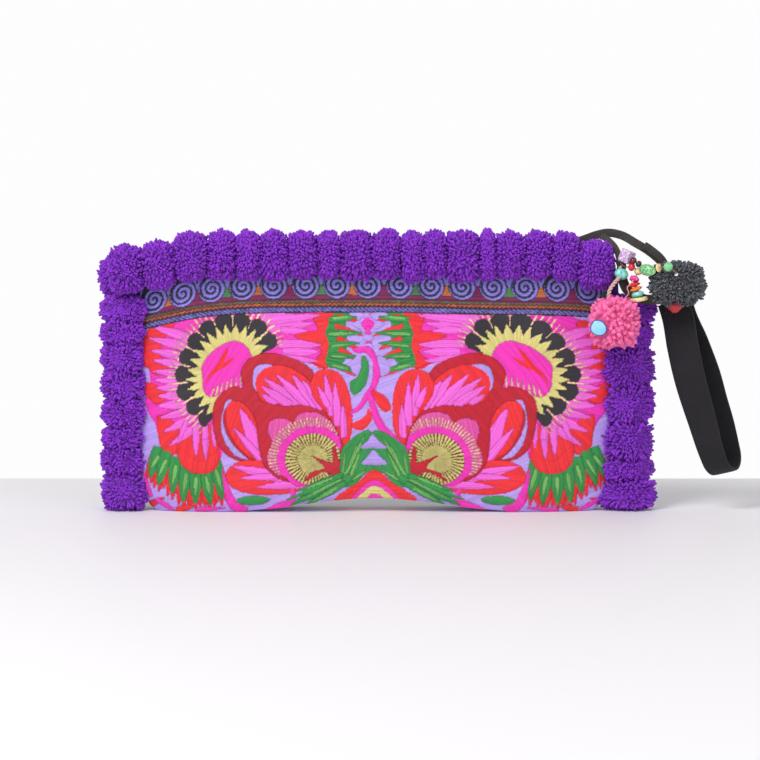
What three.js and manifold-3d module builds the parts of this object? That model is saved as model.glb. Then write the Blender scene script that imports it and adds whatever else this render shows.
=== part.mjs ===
// A zip wristlet that stands on its base: an embroidered cloth pouch, yarn pompoms along three edges,
// a suede thong with charms, and a cloth loop for the wrist.
// Millimetres, +Z up, the front faces -Y, and +X is to the right of the front.

import * as THREE from "three";
import { mergeVertices } from "three/addons/utils/BufferGeometryUtils.js";
import Module from "manifold-3d";

const wasm = await Module();
wasm.setup();

const CLEARANCE = 0.3; // between any two pieces that meet
const SMALLEST_DETAIL = 0.06; // slivers under this size are smoothed away after a cut

// Pouch. Depths and the mouth are measured inside the cloth.
const POUCH_LENGTH = 300;
const POUCH_HEIGHT = 166;
const CLOTH = 2;
const BELLY_DEPTH = 38;
const MOUTH_WIDTH = 14;
const BASE_ARCH = 9; // rise of the middle of the base between the two ends that stand
const CORNER_TUCK = 9; // how far the rounded lower corners draw in
const LEFT_DROOP = 9; // fall of the mouth's line at its left end
const RIGHT_DROOP = 7;
const PANEL_COLUMNS = 20;
const COLUMN_CROWDING = 0.6; // how far the columns draw towards the side seams
const PLUMPNESS = 5; // how late along its length the pouch starts to close
const CLOSING = 0.55; // how bluntly it then closes on the side seams

// Zip
const ZIP_END_GAP = 23; // from each end of the mouth to the zip's end
const ZIP_DROP = 3; // from the cloth's edge down to the tapes
const ZIP_TAPE_THICKNESS = 0.9;
const TEETH_WIDTH = 3.6;
const TEETH_HEIGHT = 2.4;
const SLIDER_LENGTH = 9;
const SLIDER_WIDTH = 6;
const SLIDER_THICKNESS = 1.6;
const SLIDER_FROM_ZIP_END = 5;
const BAIL_THICKNESS = 2;
const BAIL_WALL = 1.5;
const BAIL_SILL = 1; // height of the slot's lower edge over the bail's foot
const BAIL_SINK = 0.5; // how far the bail's foot goes into the slider

// Trim tape and its pompoms
const TRIM_THICKNESS = 1.2;
const TRIM_INSET = 5; // inside the seam
const TRIM_REACH = 5; // outside the seam
const TRIM_START = 9; // height of its two lower ends
const POMPOM_ACROSS = 31; // from the inner to the outer side of a row
const POMPOM_DEPTH = 25; // front to back
const FLOOR_GAP = 0.8; // under the lowest pompoms
const TOP_ROW_PAST_LEFT = 17; // how far the top row goes past the pouch's left end
const TOP_ROW_SHORT_RIGHT = 0.6; // and stops short of its right end
const TOP_ROW_DROP = 3; // pompom centres below the cloth's edge
const TOP_ROW_FORWARD = 12; // pompom centres in front of the middle of the mouth
const SIDE_ROW_OUT = 9; // pompom centres outside the side seam
const SIDE_ROW_DROP = 30; // from the pouch's full height down to the top of the side rows
const CORNER_POMPOM_WIDTH = 26; // of the pompom behind the top row's first one
const CORNER_POMPOM_DEPTH = 16.4;
const CORNER_POMPOM_HEIGHT = 25;
const CORNER_POMPOM_OUT = 13; // its centre outside the side seam
const POMPOM_LOCKS = 12; // round each ring
const LOCK_REACH = 1.07; // lock tips, as a share of a pompom's radius
const LOCK_DEPTH = 0.15; // share of the radius between lock tips and the hollows
const HOLLOWS = 0.4; // share of the points that are hollows

// Thong and wrist strap
const THONG_WIDTH = 5.4;
const THONG_THICKNESS = 1.6;
const TAIL_WIDTH = 3.6;
const STRAP_WIDTH = 22;
const STRAP_THICKNESS = 2;
const STRAP_LENGTH = 113; // from its sewn ends to the round bottom
const STRAP_RADIUS = 12; // of the round bottom, at the middle of the cloth
const STRAP_LEAN = 17; // degrees from upright
const STRAP_TURN = 27; // degrees that its flat side turns from the front
const STRAP_HOLD = 9; // length of thong sewn between its ends
const STRAP_DROP = 16; // from the last point of the thong's route to the strap's top
const THONG_MEET = 6; // length of thong that is already straight above the strap

// Charms
const THREAD_DIAMETER = 0.9;
const POMPOM_CORD_DIAMETER = 2.4;
const PINK_POMPOM_DIAMETER = 31;
const CHARCOAL_POMPOM_WIDTH = 35;
const CHARCOAL_POMPOM_DEPTH = 30;
const CHARCOAL_POMPOM_HEIGHT = 27;
const SKY_BLUE_RADIUS = 5.4;
const SKY_BLUE_BEVEL = 1.2;
const SKY_BLUE_RIM = 1.4; // its thickness between the bevels
const SKY_BLUE_CORNER = 0.45; // how far its three corners stand out
const SKY_BLUE_SIDES = 24;
const BEAD_SIDES = 10;

// Colours
const PURPLE = 0x5a1d9e;
const EMBROIDERY_GROUND = 0xc7a1f7;
const BLACK_CLOTH = 0x24232a;
const SUEDE = 0x4a464a;

// Front and back of the pouch, from the base (up 0) to the mouth (up 1). depth runs from the mouth's
// depth (0) to the belly's (1). tuck is the share of the corner's tuck.
const SECTIONS = [
  { up: 0, depth: 0.66, tuck: 1 },
  { up: 0.02, depth: 0.82, tuck: 0.72 },
  { up: 0.06, depth: 0.94, tuck: 0.36 },
  { up: 0.14, depth: 1, tuck: 0.06 },
  { up: 0.25, depth: 0.99, tuck: 0 },
  { up: 0.38, depth: 0.91, tuck: 0 },
  { up: 0.52, depth: 0.76, tuck: 0 },
  { up: 0.66, depth: 0.56, tuck: 0 },
  { up: 0.8, depth: 0.32, tuck: 0 },
  { up: 0.91, depth: 0.12, tuck: 0.08 },
  { up: 1, depth: 0, tuck: 0.25 },
];
const FLOOR_SHARES = [0, 0.5, 0.86]; // of the base's half depth
const FOOT_START = 0.7; // share of the half length where the flat feet begin

// Dents in the cloth: place along the half length and up, reach both ways, depth as a share of the belly.
const FRONT_DENTS = [
  { along: -0.03, up: 0.04, wide: 0.15, tall: 0.22, depth: 0.26 },
  { along: -0.55, up: 0.16, wide: 0.1, tall: 0.4, depth: 0.1 },
  { along: 0.5, up: 0.2, wide: 0.09, tall: 0.36, depth: 0.1 },
  { along: 0.08, up: 0.62, wide: 0.22, tall: 0.13, depth: 0.09 },
  { along: -0.72, up: 0.6, wide: 0.12, tall: 0.3, depth: 0.12 },
  { along: 0.74, up: 0.55, wide: 0.1, tall: 0.3, depth: 0.1 },
];
const BACK_DENTS = [
  { along: 0.02, up: 0.06, wide: 0.2, tall: 0.25, depth: 0.24 },
  { along: -0.42, up: 0.5, wide: 0.16, tall: 0.3, depth: 0.12 },
  { along: 0.46, up: 0.42, wide: 0.14, tall: 0.34, depth: 0.12 },
];

// Widths of the pompoms along each row, as shares of the row: the top from its left end, the sides
// from the floor up.
const TOP_WIDTHS = [32, 32, 34, 28, 24, 27, 30, 22, 34, 27, 23, 22, 34, 15, 30, 26, 27, 33];
const LEFT_WIDTHS = [36, 27, 20, 28, 28, 29, 21, 25];
const RIGHT_WIDTHS = [30, 20, 37, 38, 37, 26, 25];

// Routes of the thong and threads, chosen by hand. x and z are from the pouch's upper right corner.
// The thong's comes after its pass through the slider's bail.
const THONG_ROUTE = [
  { x: -22, y: 0.8, z: 4.8 },
  { x: -16, y: 0.4, z: 6.8 },
  { x: -10, y: -0.2, z: 9 },
  { x: -2.6, y: -1.6, z: 10.6 },
  { x: 5.5, y: -4, z: 9.4 },
  { x: 15, y: -7, z: 4.4 },
  { x: 23.5, y: -9, z: -0.8 },
  { x: 31, y: -9.6, z: -7.6 },
  { x: 35, y: -9, z: -17 },
];
const TAIL_ROUTE = [
  { x: -6.5, y: -1, z: 8.6 },
  { x: -1.8, y: -7, z: 5.8 },
  { x: 2.2, y: -11, z: 1.2 },
  { x: 4.4, y: -15.4, z: -5.4 },
];
const ACROSS_ROUTE = [
  { x: 4.6, y: -18, z: -4.5 },
  { x: 8.6, y: -21, z: -3 },
  { x: 12.7, y: -24, z: -5.4 },
  { x: 16.4, y: -26.5, z: -7.6 },
  { x: 21.2, y: -29.5, z: -10.8 },
  { x: 27.6, y: -34, z: -9.1 },
  { x: 33.6, y: -38.5, z: -8.1 },
  { x: 38, y: -36.5, z: -11.4 },
  { x: 40, y: -31, z: -16 },
];
const DOWN_ROUTE = [
  { x: 4.9, y: -17.6, z: -7.4 },
  { x: 7.8, y: -21, z: -9.4 },
  { x: 11.6, y: -23.6, z: -9.4 },
  { x: 16, y: -22.2, z: -12.2 },
  { x: 13.3, y: -24.4, z: -16.6 },
  { x: 13, y: -25.6, z: -20 },
  { x: 14.2, y: -26, z: -23 },
  { x: 15.3, y: -26.2, z: -26.4 },
  { x: 15.8, y: -26.2, z: -29.8 },
  { x: 16, y: -26.2, z: -31.8 },
];
const CORD_ROUTE = [
  { x: 4.6, y: -18.4, z: -9.4 },
  { x: 5.3, y: -21.5, z: -13.9 },
  { x: 1, y: -25, z: -19 },
  { x: -2.6, y: -27, z: -24.5 },
  { x: -2.4, y: -28.6, z: -32 },
  { x: -0.6, y: -29.6, z: -38 },
];

const PINK_POMPOM_AT = { x: 0.7, y: -30.5, z: -44.5 };
const CHARCOAL_POMPOM_AT = { x: 40.5, y: -22.5, z: -19.6 };
const SKY_BLUE_BEAD_AT = { x: -10.1, y: -43.5, z: -46 };
const CLOTH_TIP_AT = { x: 38.8, y: -24, z: -34.4 };

const HALF_LENGTH = POUCH_LENGTH / 2;
const ZIP_HALF = HALF_LENGTH - ZIP_END_GAP;
const SLIDER_FROM_MIDDLE = ZIP_HALF - SLIDER_FROM_ZIP_END;
const SEAM_HALF = TRIM_THICKNESS / 2 + CLEARANCE;
const MOUTH = SECTIONS[SECTIONS.length - 1];
const vector = (p) => new THREE.Vector3(p.x, p.y, p.z);
const fromCorner = (p) => new THREE.Vector3(HALF_LENGTH + p.x, p.y, POUCH_HEIGHT + p.z);
const radians = THREE.MathUtils.degToRad;

// A closed mesh from points and triangles, turned right side out where its volume comes out negative.
function closedGeometry(points, triangles) {
  const six = triangles.reduce((sum, [a, b, c]) => {
    const across = new THREE.Vector3().crossVectors(points[b], points[c]);
    return sum + points[a].dot(across);
  }, 0);
  const order = six > 0 ? triangles : triangles.map(([a, b, c]) => [a, c, b]);
  const geometry = new THREE.BufferGeometry();
  geometry.setAttribute(
    "position",
    new THREE.Float32BufferAttribute(points.flatMap((p) => [p.x, p.y, p.z]), 3),
  );
  geometry.setIndex(order.flat());
  return geometry;
}

// A sheet with thickness between two grids of points that share their rows and columns.
function sheetGeometry(outer, inner) {
  const rows = outer.length;
  const columns = outer[0].length;
  const points = [...outer.flat(), ...inner.flat()];
  const at = (face, row, column) => face * rows * columns + row * columns + column;
  const triangles = [];
  const quad = (a, b, c, d) => triangles.push([a, b, c], [a, c, d]);
  for (let r = 0; r + 1 < rows; r++) {
    for (let c = 0; c + 1 < columns; c++) {
      quad(at(0, r, c), at(0, r, c + 1), at(0, r + 1, c + 1), at(0, r + 1, c));
      quad(at(1, r, c), at(1, r + 1, c), at(1, r + 1, c + 1), at(1, r, c + 1));
    }
    quad(at(0, r, 0), at(0, r + 1, 0), at(1, r + 1, 0), at(1, r, 0));
    const last = columns - 1;
    quad(at(0, r, last), at(1, r, last), at(1, r + 1, last), at(0, r + 1, last));
  }
  for (let c = 0; c + 1 < columns; c++) {
    quad(at(0, 0, c), at(1, 0, c), at(1, 0, c + 1), at(0, 0, c + 1));
    const top = rows - 1;
    quad(at(0, top, c), at(0, top, c + 1), at(1, top, c + 1), at(1, top, c));
  }
  return closedGeometry(points, triangles);
}

// A bar carried through rings of points, with flat ends.
function loftGeometry(rings) {
  const sides = rings[0].length;
  const triangles = [];
  for (let r = 0; r + 1 < rings.length; r++) {
    for (let k = 0; k < sides; k++) {
      const a = r * sides + k;
      const b = r * sides + ((k + 1) % sides);
      triangles.push([a, b, b + sides], [a, b + sides, a + sides]);
    }
  }
  const last = (rings.length - 1) * sides;
  for (let k = 1; k + 1 < sides; k++) {
    triangles.push([0, k + 1, k], [last, last + k, last + k + 1]);
  }
  return closedGeometry(rings.flat(), triangles);
}

function toSolid(geometry) {
  const bare = geometry.clone();
  bare.deleteAttribute("normal");
  bare.deleteAttribute("uv");
  const merged = mergeVertices(bare, 1e-4);
  return new wasm.Manifold(
    new wasm.Mesh({
      numProp: 3,
      vertProperties: new Float32Array(merged.attributes.position.array),
      triVerts: new Uint32Array(merged.index.array),
    }),
  );
}

function fromSolid(solid) {
  const mesh = solid.asOriginal().simplify(SMALLEST_DETAIL).getMesh();
  const geometry = new THREE.BufferGeometry();
  geometry.setAttribute("position", new THREE.Float32BufferAttribute(mesh.vertProperties, 3));
  geometry.setIndex([...mesh.triVerts]);
  return geometry;
}

const wristlet = new THREE.Group();

function add(name, geometry, color, roughness = 0.9, metalness = 0) {
  const material = new THREE.MeshStandardMaterial({ color, roughness, metalness });
  const mesh = new THREE.Mesh(geometry, material);
  mesh.name = name;
  wristlet.add(mesh);
}

// Pouch

// How full a section is at a share of the half length: 1 in the middle and 0 at the side seams.
const fullness = (share) => Math.max(0, 1 - Math.abs(share) ** PLUMPNESS) ** CLOSING;

const droop = (share) =>
  (share < 0 ? LEFT_DROOP : RIGHT_DROOP) * THREE.MathUtils.smoothstep(Math.abs(share), 0.72, 1);

const mouthHeight = (share) => POUCH_HEIGHT - droop(share);

const baseHeight = (share) =>
  Math.abs(share) < FOOT_START
    ? BASE_ARCH * Math.cos(((Math.PI / 2) * share) / FOOT_START) ** 2
    : 0;

const halfLengthAt = (section) => HALF_LENGTH - CORNER_TUCK * section.tuck;

function halfDepth(share, section, dents) {
  const full = (MOUTH_WIDTH + (BELLY_DEPTH - MOUTH_WIDTH) * section.depth) / 2;
  const dented = dents.reduce((sum, dent) => {
    const along = (share - dent.along) / dent.wide;
    const up = (section.up - dent.up) / dent.tall;
    return sum + dent.depth * Math.exp(-along * along - up * up);
  }, 0);
  const closing = fullness(share);
  const bare = SEAM_HALF + (full - SEAM_HALF) * closing;
  return Math.max(SEAM_HALF, bare - (dented * closing * BELLY_DEPTH * section.depth) / 2);
}

const COLUMN_SHARES = Array.from({ length: PANEL_COLUMNS + 1 }, (_, i) => {
  const even = (2 * i) / PANEL_COLUMNS - 1;
  return i === PANEL_COLUMNS / 2 ? 0 : even + (COLUMN_CROWDING / Math.PI) * Math.sin(Math.PI * even);
});

function wallPoint(side, share, section, dents) {
  const low = baseHeight(share) + CLOTH;
  return new THREE.Vector3(
    share * halfLengthAt(section),
    side * halfDepth(share, section, dents),
    low + (mouthHeight(share) - low) * section.up,
  );
}

// Unit vectors square to a grid of points, on the side that faces away from the middle of the pouch.
function gridNormals(grid, side) {
  return grid.map((row, r) =>
    row.map((_, c) => {
      const before = grid[Math.max(0, r - 1)][c];
      const after = grid[Math.min(grid.length - 1, r + 1)][c];
      const left = row[Math.max(0, c - 1)];
      const right = row[Math.min(row.length - 1, c + 1)];
      const up = after.clone().sub(before);
      const along = right.clone().sub(left);
      return along.cross(up).multiplyScalar(-side).normalize();
    }),
  );
}

function wallGrid(side, dents) {
  return SECTIONS.map((section) =>
    COLUMN_SHARES.map((share) => wallPoint(side, share, section, dents)),
  );
}

// Inner face of one half of the pouch: flat floor rows out to the wall, then the wall to the mouth.
function innerGrid(side, dents) {
  const wall = wallGrid(side, dents);
  const floor = FLOOR_SHARES.map((share) =>
    wall[0].map((corner) => {
      const depth = CLEARANCE / 2 + (Math.abs(corner.y) - CLEARANCE / 2) * share;
      return new THREE.Vector3(corner.x, side * depth, corner.z);
    }),
  );
  return [...floor, ...wall];
}

function outerGrid(side, dents) {
  const inner = innerGrid(side, dents);
  const normals = gridNormals(inner, side);
  return inner.map((row, r) =>
    row.map((point, c) => {
      const onFloor = r < FLOOR_SHARES.length;
      const out = onFloor ? new THREE.Vector3(0, 0, -1) : normals[r][c];
      return point.clone().addScaledVector(out, CLOTH);
    }),
  );
}

// The space that one half of the pouch fills, with its mouth closed, grown by a clearance.
function pouchSpace(side, dents, clearance) {
  const wall = wallGrid(side, dents);
  const normals = gridNormals(wall, side);
  const outer = wall.map((row, r) =>
    row.map((point, c) => point.clone().addScaledVector(normals[r][c], CLOTH + clearance)),
  );
  const shifted = (row, z) => row.map((p) => new THREE.Vector3(p.x, p.y, p.z + z));
  const skirt = shifted(outer[0], -CLOTH - clearance);
  const collar = shifted(outer[outer.length - 1], clearance);
  const front = [skirt, ...outer, collar];
  const middle = front.map((row) => row.map((p) => new THREE.Vector3(p.x, -side * 0.5, p.z)));
  return toSolid(sheetGeometry(front, middle));
}

const FRONT = -1;
const BACK = 1;
const frontPanel = sheetGeometry(outerGrid(FRONT, FRONT_DENTS), innerGrid(FRONT, FRONT_DENTS));
const backPanel = sheetGeometry(outerGrid(BACK, BACK_DENTS), innerGrid(BACK, BACK_DENTS));
add("front_panel", frontPanel, EMBROIDERY_GROUND, 0.6);
add("back_panel", backPanel, BLACK_CLOTH);

// Trim tape in the side seams and behind the front cloth's upper edge

// Middle of the tape at the mouth: it lies against the inside of the front cloth, and turns into the
// side seams over its own reach.
function trimDepth(share) {
  const nearer = Math.min(1, Math.abs(share) + TRIM_REACH / HALF_LENGTH);
  return -(halfDepth(nearer, MOUTH, []) - CLEARANCE - TRIM_THICKNESS / 2);
}

// Points along the middle of the tape. out is the way from the pouch to the tape's outer edge.
function trimLine() {
  const seam = (side) => {
    const out = new THREE.Vector3(side, 0, 0);
    const rows = SECTIONS.filter((section) => section !== MOUTH)
      .map((section) => wallPoint(FRONT, side, section, []))
      .filter((point) => point.z > TRIM_START)
      .map((point) => ({ point: point.setY(0), out }));
    const low = new THREE.Vector3(side * halfLengthAt(SECTIONS[2]), 0, TRIM_START);
    return [{ point: low, out }, ...rows];
  };
  const top = COLUMN_SHARES.map((share) => ({
    point: new THREE.Vector3(share * halfLengthAt(MOUTH), trimDepth(share), mouthHeight(share)),
    out: new THREE.Vector3(Math.abs(share) === 1 ? share : 0, 0, 1).normalize(),
  }));
  return [...seam(-1), ...top, ...seam(1).reverse()];
}

function trimGeometry(clearance) {
  const line = trimLine();
  const half = TRIM_THICKNESS / 2 + clearance;
  const rings = line.map(({ point, out }) => {
    const corner = (reach, y) => point.clone().addScaledVector(out, reach).setY(point.y + y);
    const inside = -TRIM_INSET - clearance;
    const outside = TRIM_REACH + clearance;
    return [corner(inside, -half), corner(outside, -half), corner(outside, half), corner(inside, half)];
  });
  return loftGeometry(rings);
}
add("trim_tape", trimGeometry(0), PURPLE);

// Zip, closed

const ZIP_SHARES = COLUMN_SHARES.map(
  (share) => THREE.MathUtils.clamp(share * HALF_LENGTH, -ZIP_HALF, ZIP_HALF) / HALF_LENGTH,
).filter((share, i, all) => i === 0 || share !== all[i - 1]);

// A bar along the mouth between two depths and two heights that are functions of the share.
function mouthBar(near, far, low, high) {
  return loftGeometry(
    ZIP_SHARES.map((share) => {
      const x = share * halfLengthAt(MOUTH);
      const z = mouthHeight(share) - ZIP_DROP;
      return [
        new THREE.Vector3(x, near(share), z + low),
        new THREE.Vector3(x, far(share), z + low),
        new THREE.Vector3(x, far(share), z + high),
        new THREE.Vector3(x, near(share), z + high),
      ];
    }),
  );
}

const teethEdge = TEETH_WIDTH / 2 + CLEARANCE;
const zipTapes = [
  {
    name: "zip_tape_front",
    near: (share) => trimDepth(share) + TRIM_THICKNESS / 2 + CLEARANCE,
    far: () => -teethEdge,
  },
  {
    name: "zip_tape_back",
    near: () => teethEdge,
    far: (share) => halfDepth(share, MOUTH, []) - CLEARANCE,
  },
];
for (const tape of zipTapes) {
  const half = ZIP_TAPE_THICKNESS / 2;
  add(tape.name, mouthBar(tape.near, tape.far, -half, half), BLACK_CLOTH);
}
const toothHalf = () => TEETH_WIDTH / 2;
const teeth = mouthBar(() => -toothHalf(), toothHalf, -TEETH_HEIGHT / 2, TEETH_HEIGHT / 2);
add("zip_teeth", teeth, 0x1d1c20, 0.5);

// Slider: a flat body on the teeth with an upright bail, whose slot holds the thong.
const sliderSeat =
  mouthHeight((SLIDER_FROM_MIDDLE - SLIDER_LENGTH) / HALF_LENGTH) -
  ZIP_DROP +
  TEETH_HEIGHT / 2 +
  CLEARANCE;
// The thong's pass through the bail: x from the slider, z from the top of the slider's body.
const BAIL_PASS = [
  { x: -11, y: 1.5, z: 3.9 },
  { x: -5.5, y: 1, z: 3.9 },
  { x: 0, y: 0.9, z: 4 },
];
const bailHeight = THONG_WIDTH + 4 * CLEARANCE + BAIL_WALL + BAIL_SILL;

function sliderSolid() {
  const slotWidth = THONG_THICKNESS + 6 * CLEARANCE;
  const body = new THREE.BoxGeometry(SLIDER_LENGTH, SLIDER_WIDTH, SLIDER_THICKNESS);
  body.translate(SLIDER_FROM_MIDDLE, 0, sliderSeat + SLIDER_THICKNESS / 2);
  const outline = new THREE.Shape();
  const half = slotWidth / 2 + BAIL_WALL;
  outline.moveTo(-half, 0);
  outline.lineTo(half, 0);
  outline.lineTo(half, bailHeight - half);
  outline.absarc(0, bailHeight - half, half, 0, Math.PI);
  outline.lineTo(-half, 0);
  const hole = new THREE.Path();
  hole.moveTo(-slotWidth / 2, BAIL_SILL);
  hole.lineTo(-slotWidth / 2, bailHeight - half);
  hole.absarc(0, bailHeight - half, slotWidth / 2, Math.PI, 0, true);
  hole.lineTo(slotWidth / 2, BAIL_SILL);
  hole.lineTo(-slotWidth / 2, BAIL_SILL);
  outline.holes.push(hole);
  const bail = new THREE.ExtrudeGeometry(outline, {
    depth: BAIL_THICKNESS,
    bevelEnabled: false,
    curveSegments: 6,
  });
  bail.rotateX(Math.PI / 2);
  bail.rotateZ(Math.PI / 2);
  const bailFoot = sliderSeat + SLIDER_THICKNESS - BAIL_SINK;
  bail.translate(SLIDER_FROM_MIDDLE - BAIL_THICKNESS / 2, BAIL_PASS[2].y, bailFoot);
  return toSolid(body).add(toSolid(bail));
}
add("zip_slider", fromSolid(sliderSolid()), 0x6f6a62, 0.4, 0.8);

function sliderSpace() {
  const height = SLIDER_THICKNESS + bailHeight + 2 * CLEARANCE;
  const space = new THREE.BoxGeometry(
    SLIDER_LENGTH + 2 * CLEARANCE,
    SLIDER_WIDTH + 2 * CLEARANCE,
    height,
  );
  return toSolid(space.translate(SLIDER_FROM_MIDDLE, 0, sliderSeat + height / 2 - CLEARANCE));
}

// Wrist strap: one band from its front end, round the bottom and back up, with the ends sewn
// together over the thong's end.

const strapDown = new THREE.Vector3(Math.sin(radians(STRAP_LEAN)), 0, -Math.cos(radians(STRAP_LEAN)));
const strapAcross = new THREE.Vector3(Math.cos(radians(STRAP_TURN)), -Math.sin(radians(STRAP_TURN)), 0);
strapAcross.addScaledVector(strapDown, -strapAcross.dot(strapDown)).normalize();
const strapBack = strapAcross.clone().cross(strapDown).normalize();
const thongEnd = fromCorner(THONG_ROUTE[THONG_ROUTE.length - 1]);
const strapTop = thongEnd.clone().addScaledVector(strapDown, STRAP_DROP);

// How the two bands part below the held ends: shares of the way down and of the full opening.
const STRAP_LEG = [
  { down: 0.28, open: 0.55 },
  { down: 0.5, open: 0.9 },
  { down: 0.75, open: 1 },
];

function strapLine() {
  const topHalf = THONG_THICKNESS / 2 + CLEARANCE + STRAP_THICKNESS / 2;
  const bottom = STRAP_LENGTH - STRAP_RADIUS;
  const held = [0, STRAP_HOLD / bottom].map((down) => ({ down, open: 0 }));
  const leg = [...held, ...STRAP_LEG].map((row) => ({
    down: row.down * bottom,
    back: -topHalf - (STRAP_RADIUS - topHalf) * row.open,
  }));
  const round = Array.from({ length: 9 }, (_, i) => {
    const angle = (Math.PI * i) / 8;
    return { down: bottom + STRAP_RADIUS * Math.sin(angle), back: -STRAP_RADIUS * Math.cos(angle) };
  });
  const rise = leg.map((row) => ({ down: row.down, back: -row.back })).reverse();
  return [...leg, ...round, ...rise].map((row) =>
    strapTop.clone().addScaledVector(strapDown, row.down).addScaledVector(strapBack, row.back),
  );
}

// A flat strip along points. faces gives the direction that its flat side faces at each point.
function stripGeometry(points, faces, width, thickness) {
  const rings = points.map((point, i) => {
    const before = points[Math.max(0, i - 1)];
    const after = points[Math.min(points.length - 1, i + 1)];
    const along = after.clone().sub(before).normalize();
    const across = along.clone().cross(faces[i]).normalize();
    const up = across.clone().cross(along).normalize();
    const corner = (a, b) =>
      point.clone().addScaledVector(across, (a * width) / 2).addScaledVector(up, (b * thickness) / 2);
    return [corner(-1, -1), corner(1, -1), corner(1, 1), corner(-1, 1)];
  });
  return loftGeometry(rings);
}

function strapGeometry(clearance) {
  const line = strapLine();
  const faces = line.map((point, i) => {
    const before = line[Math.max(0, i - 1)];
    const after = line[Math.min(line.length - 1, i + 1)];
    return after.clone().sub(before).cross(strapAcross).normalize();
  });
  return stripGeometry(line, faces, STRAP_WIDTH + 2 * clearance, STRAP_THICKNESS + 2 * clearance);
}
add("wrist_strap", strapGeometry(0), BLACK_CLOTH);

// Thong: from the slider's bail over the corner and down between the ends of the strap.

function thongGeometry(clearance) {
  const sliderTop = sliderSeat + SLIDER_THICKNESS;
  const pass = BAIL_PASS.map((p) => new THREE.Vector3(SLIDER_FROM_MIDDLE + p.x, p.y, sliderTop + p.z));
  const free = new THREE.CatmullRomCurve3([...pass, ...THONG_ROUTE.map(fromCorner)]).getPoints(20);
  const held = strapTop.clone().addScaledVector(strapDown, STRAP_HOLD + clearance);
  const meet = strapTop.clone().addScaledVector(strapDown, -THONG_MEET);
  const points = [...free, meet, strapTop.clone(), held];
  const front = new THREE.Vector3(0, -1, 0);
  const faces = points.map((_, i) => {
    const turned = THREE.MathUtils.smoothstep(i, free.length * 0.6, free.length);
    return front.clone().lerp(strapBack.clone().negate(), turned).normalize();
  });
  return stripGeometry(points, faces, THONG_WIDTH + 2 * clearance, THONG_THICKNESS + 2 * clearance);
}

// The thinner tail that carries the charms branches from the thong over the corner.
function tailGeometry(clearance) {
  const points = new THREE.CatmullRomCurve3(TAIL_ROUTE.map(fromCorner)).getPoints(8);
  const front = new THREE.Vector3(0, -1, 0.2).normalize();
  const faces = points.map(() => front);
  return stripGeometry(points, faces, TAIL_WIDTH + 2 * clearance, THONG_THICKNESS + 2 * clearance);
}

function thongSolid(clearance) {
  return toSolid(thongGeometry(clearance)).add(toSolid(tailGeometry(clearance)));
}
add("thong", fromSolid(thongSolid(0)), SUEDE);

// Threads and the pink pompom's cord

function threadGeometry(path, diameter, steps) {
  const section = new THREE.Shape();
  section.absarc(0, 0, diameter / 2, 0, 2 * Math.PI);
  return new THREE.ExtrudeGeometry(section, { extrudePath: path, steps, curveSegments: 3 });
}
const THREADS = {
  bead_thread_across: { route: ACROSS_ROUTE, diameter: THREAD_DIAMETER, steps: 16 },
  bead_thread_down: { route: DOWN_ROUTE, diameter: THREAD_DIAMETER, steps: 18 },
  pompom_cord: { route: CORD_ROUTE, diameter: POMPOM_CORD_DIAMETER, steps: 10 },
};
const paths = {};
const channels = {};
for (const [name, { route, diameter, steps }] of Object.entries(THREADS)) {
  paths[name] = new THREE.CatmullRomCurve3(route.map(fromCorner));
  add(name, threadGeometry(paths[name], diameter, steps), 0x8c6a4a);
  channels[name] = toSolid(threadGeometry(paths[name], diameter + 2 * CLEARANCE, steps));
}

// Beads. Each one is threaded at a numbered point of its route, and drilled by the thread's channel.

// A round form from a profile: shares of the half length along the hole and of the radius.
function turnedBead(profile, length, diameter) {
  const points = profile.map(
    (row) => new THREE.Vector2((row.out * diameter) / 2, (row.along * length) / 2),
  );
  return new THREE.LatheGeometry(points, BEAD_SIDES);
}
const ROUND = [
  { along: -1, out: 0 },
  { along: -0.84, out: 0.58 },
  { along: -0.3, out: 0.97 },
  { along: 0.3, out: 0.97 },
  { along: 0.84, out: 0.58 },
  { along: 1, out: 0 },
];
const DISC = [
  { along: -1, out: 0 },
  { along: -1, out: 0.7 },
  { along: 0, out: 1 },
  { along: 1, out: 0.7 },
  { along: 1, out: 0 },
];

function beadOnThread(bead) {
  const along = bead.knot / (THREADS[bead.thread].route.length - 1);
  const point = paths[bead.thread].getPoint(along);
  const way = paths[bead.thread].getTangent(along);
  const form =
    bead.profile === "cube"
      ? new THREE.BoxGeometry(bead.diameter, bead.length, bead.diameter)
      : turnedBead(bead.profile, bead.length, bead.diameter);
  form.scale(1, 1, bead.flat ?? 1);
  form.applyQuaternion(new THREE.Quaternion().setFromUnitVectors(new THREE.Vector3(0, 1, 0), way));
  form.translate(point.x, point.y, point.z);
  return toSolid(form).subtract(channels[bead.thread]);
}

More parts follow.
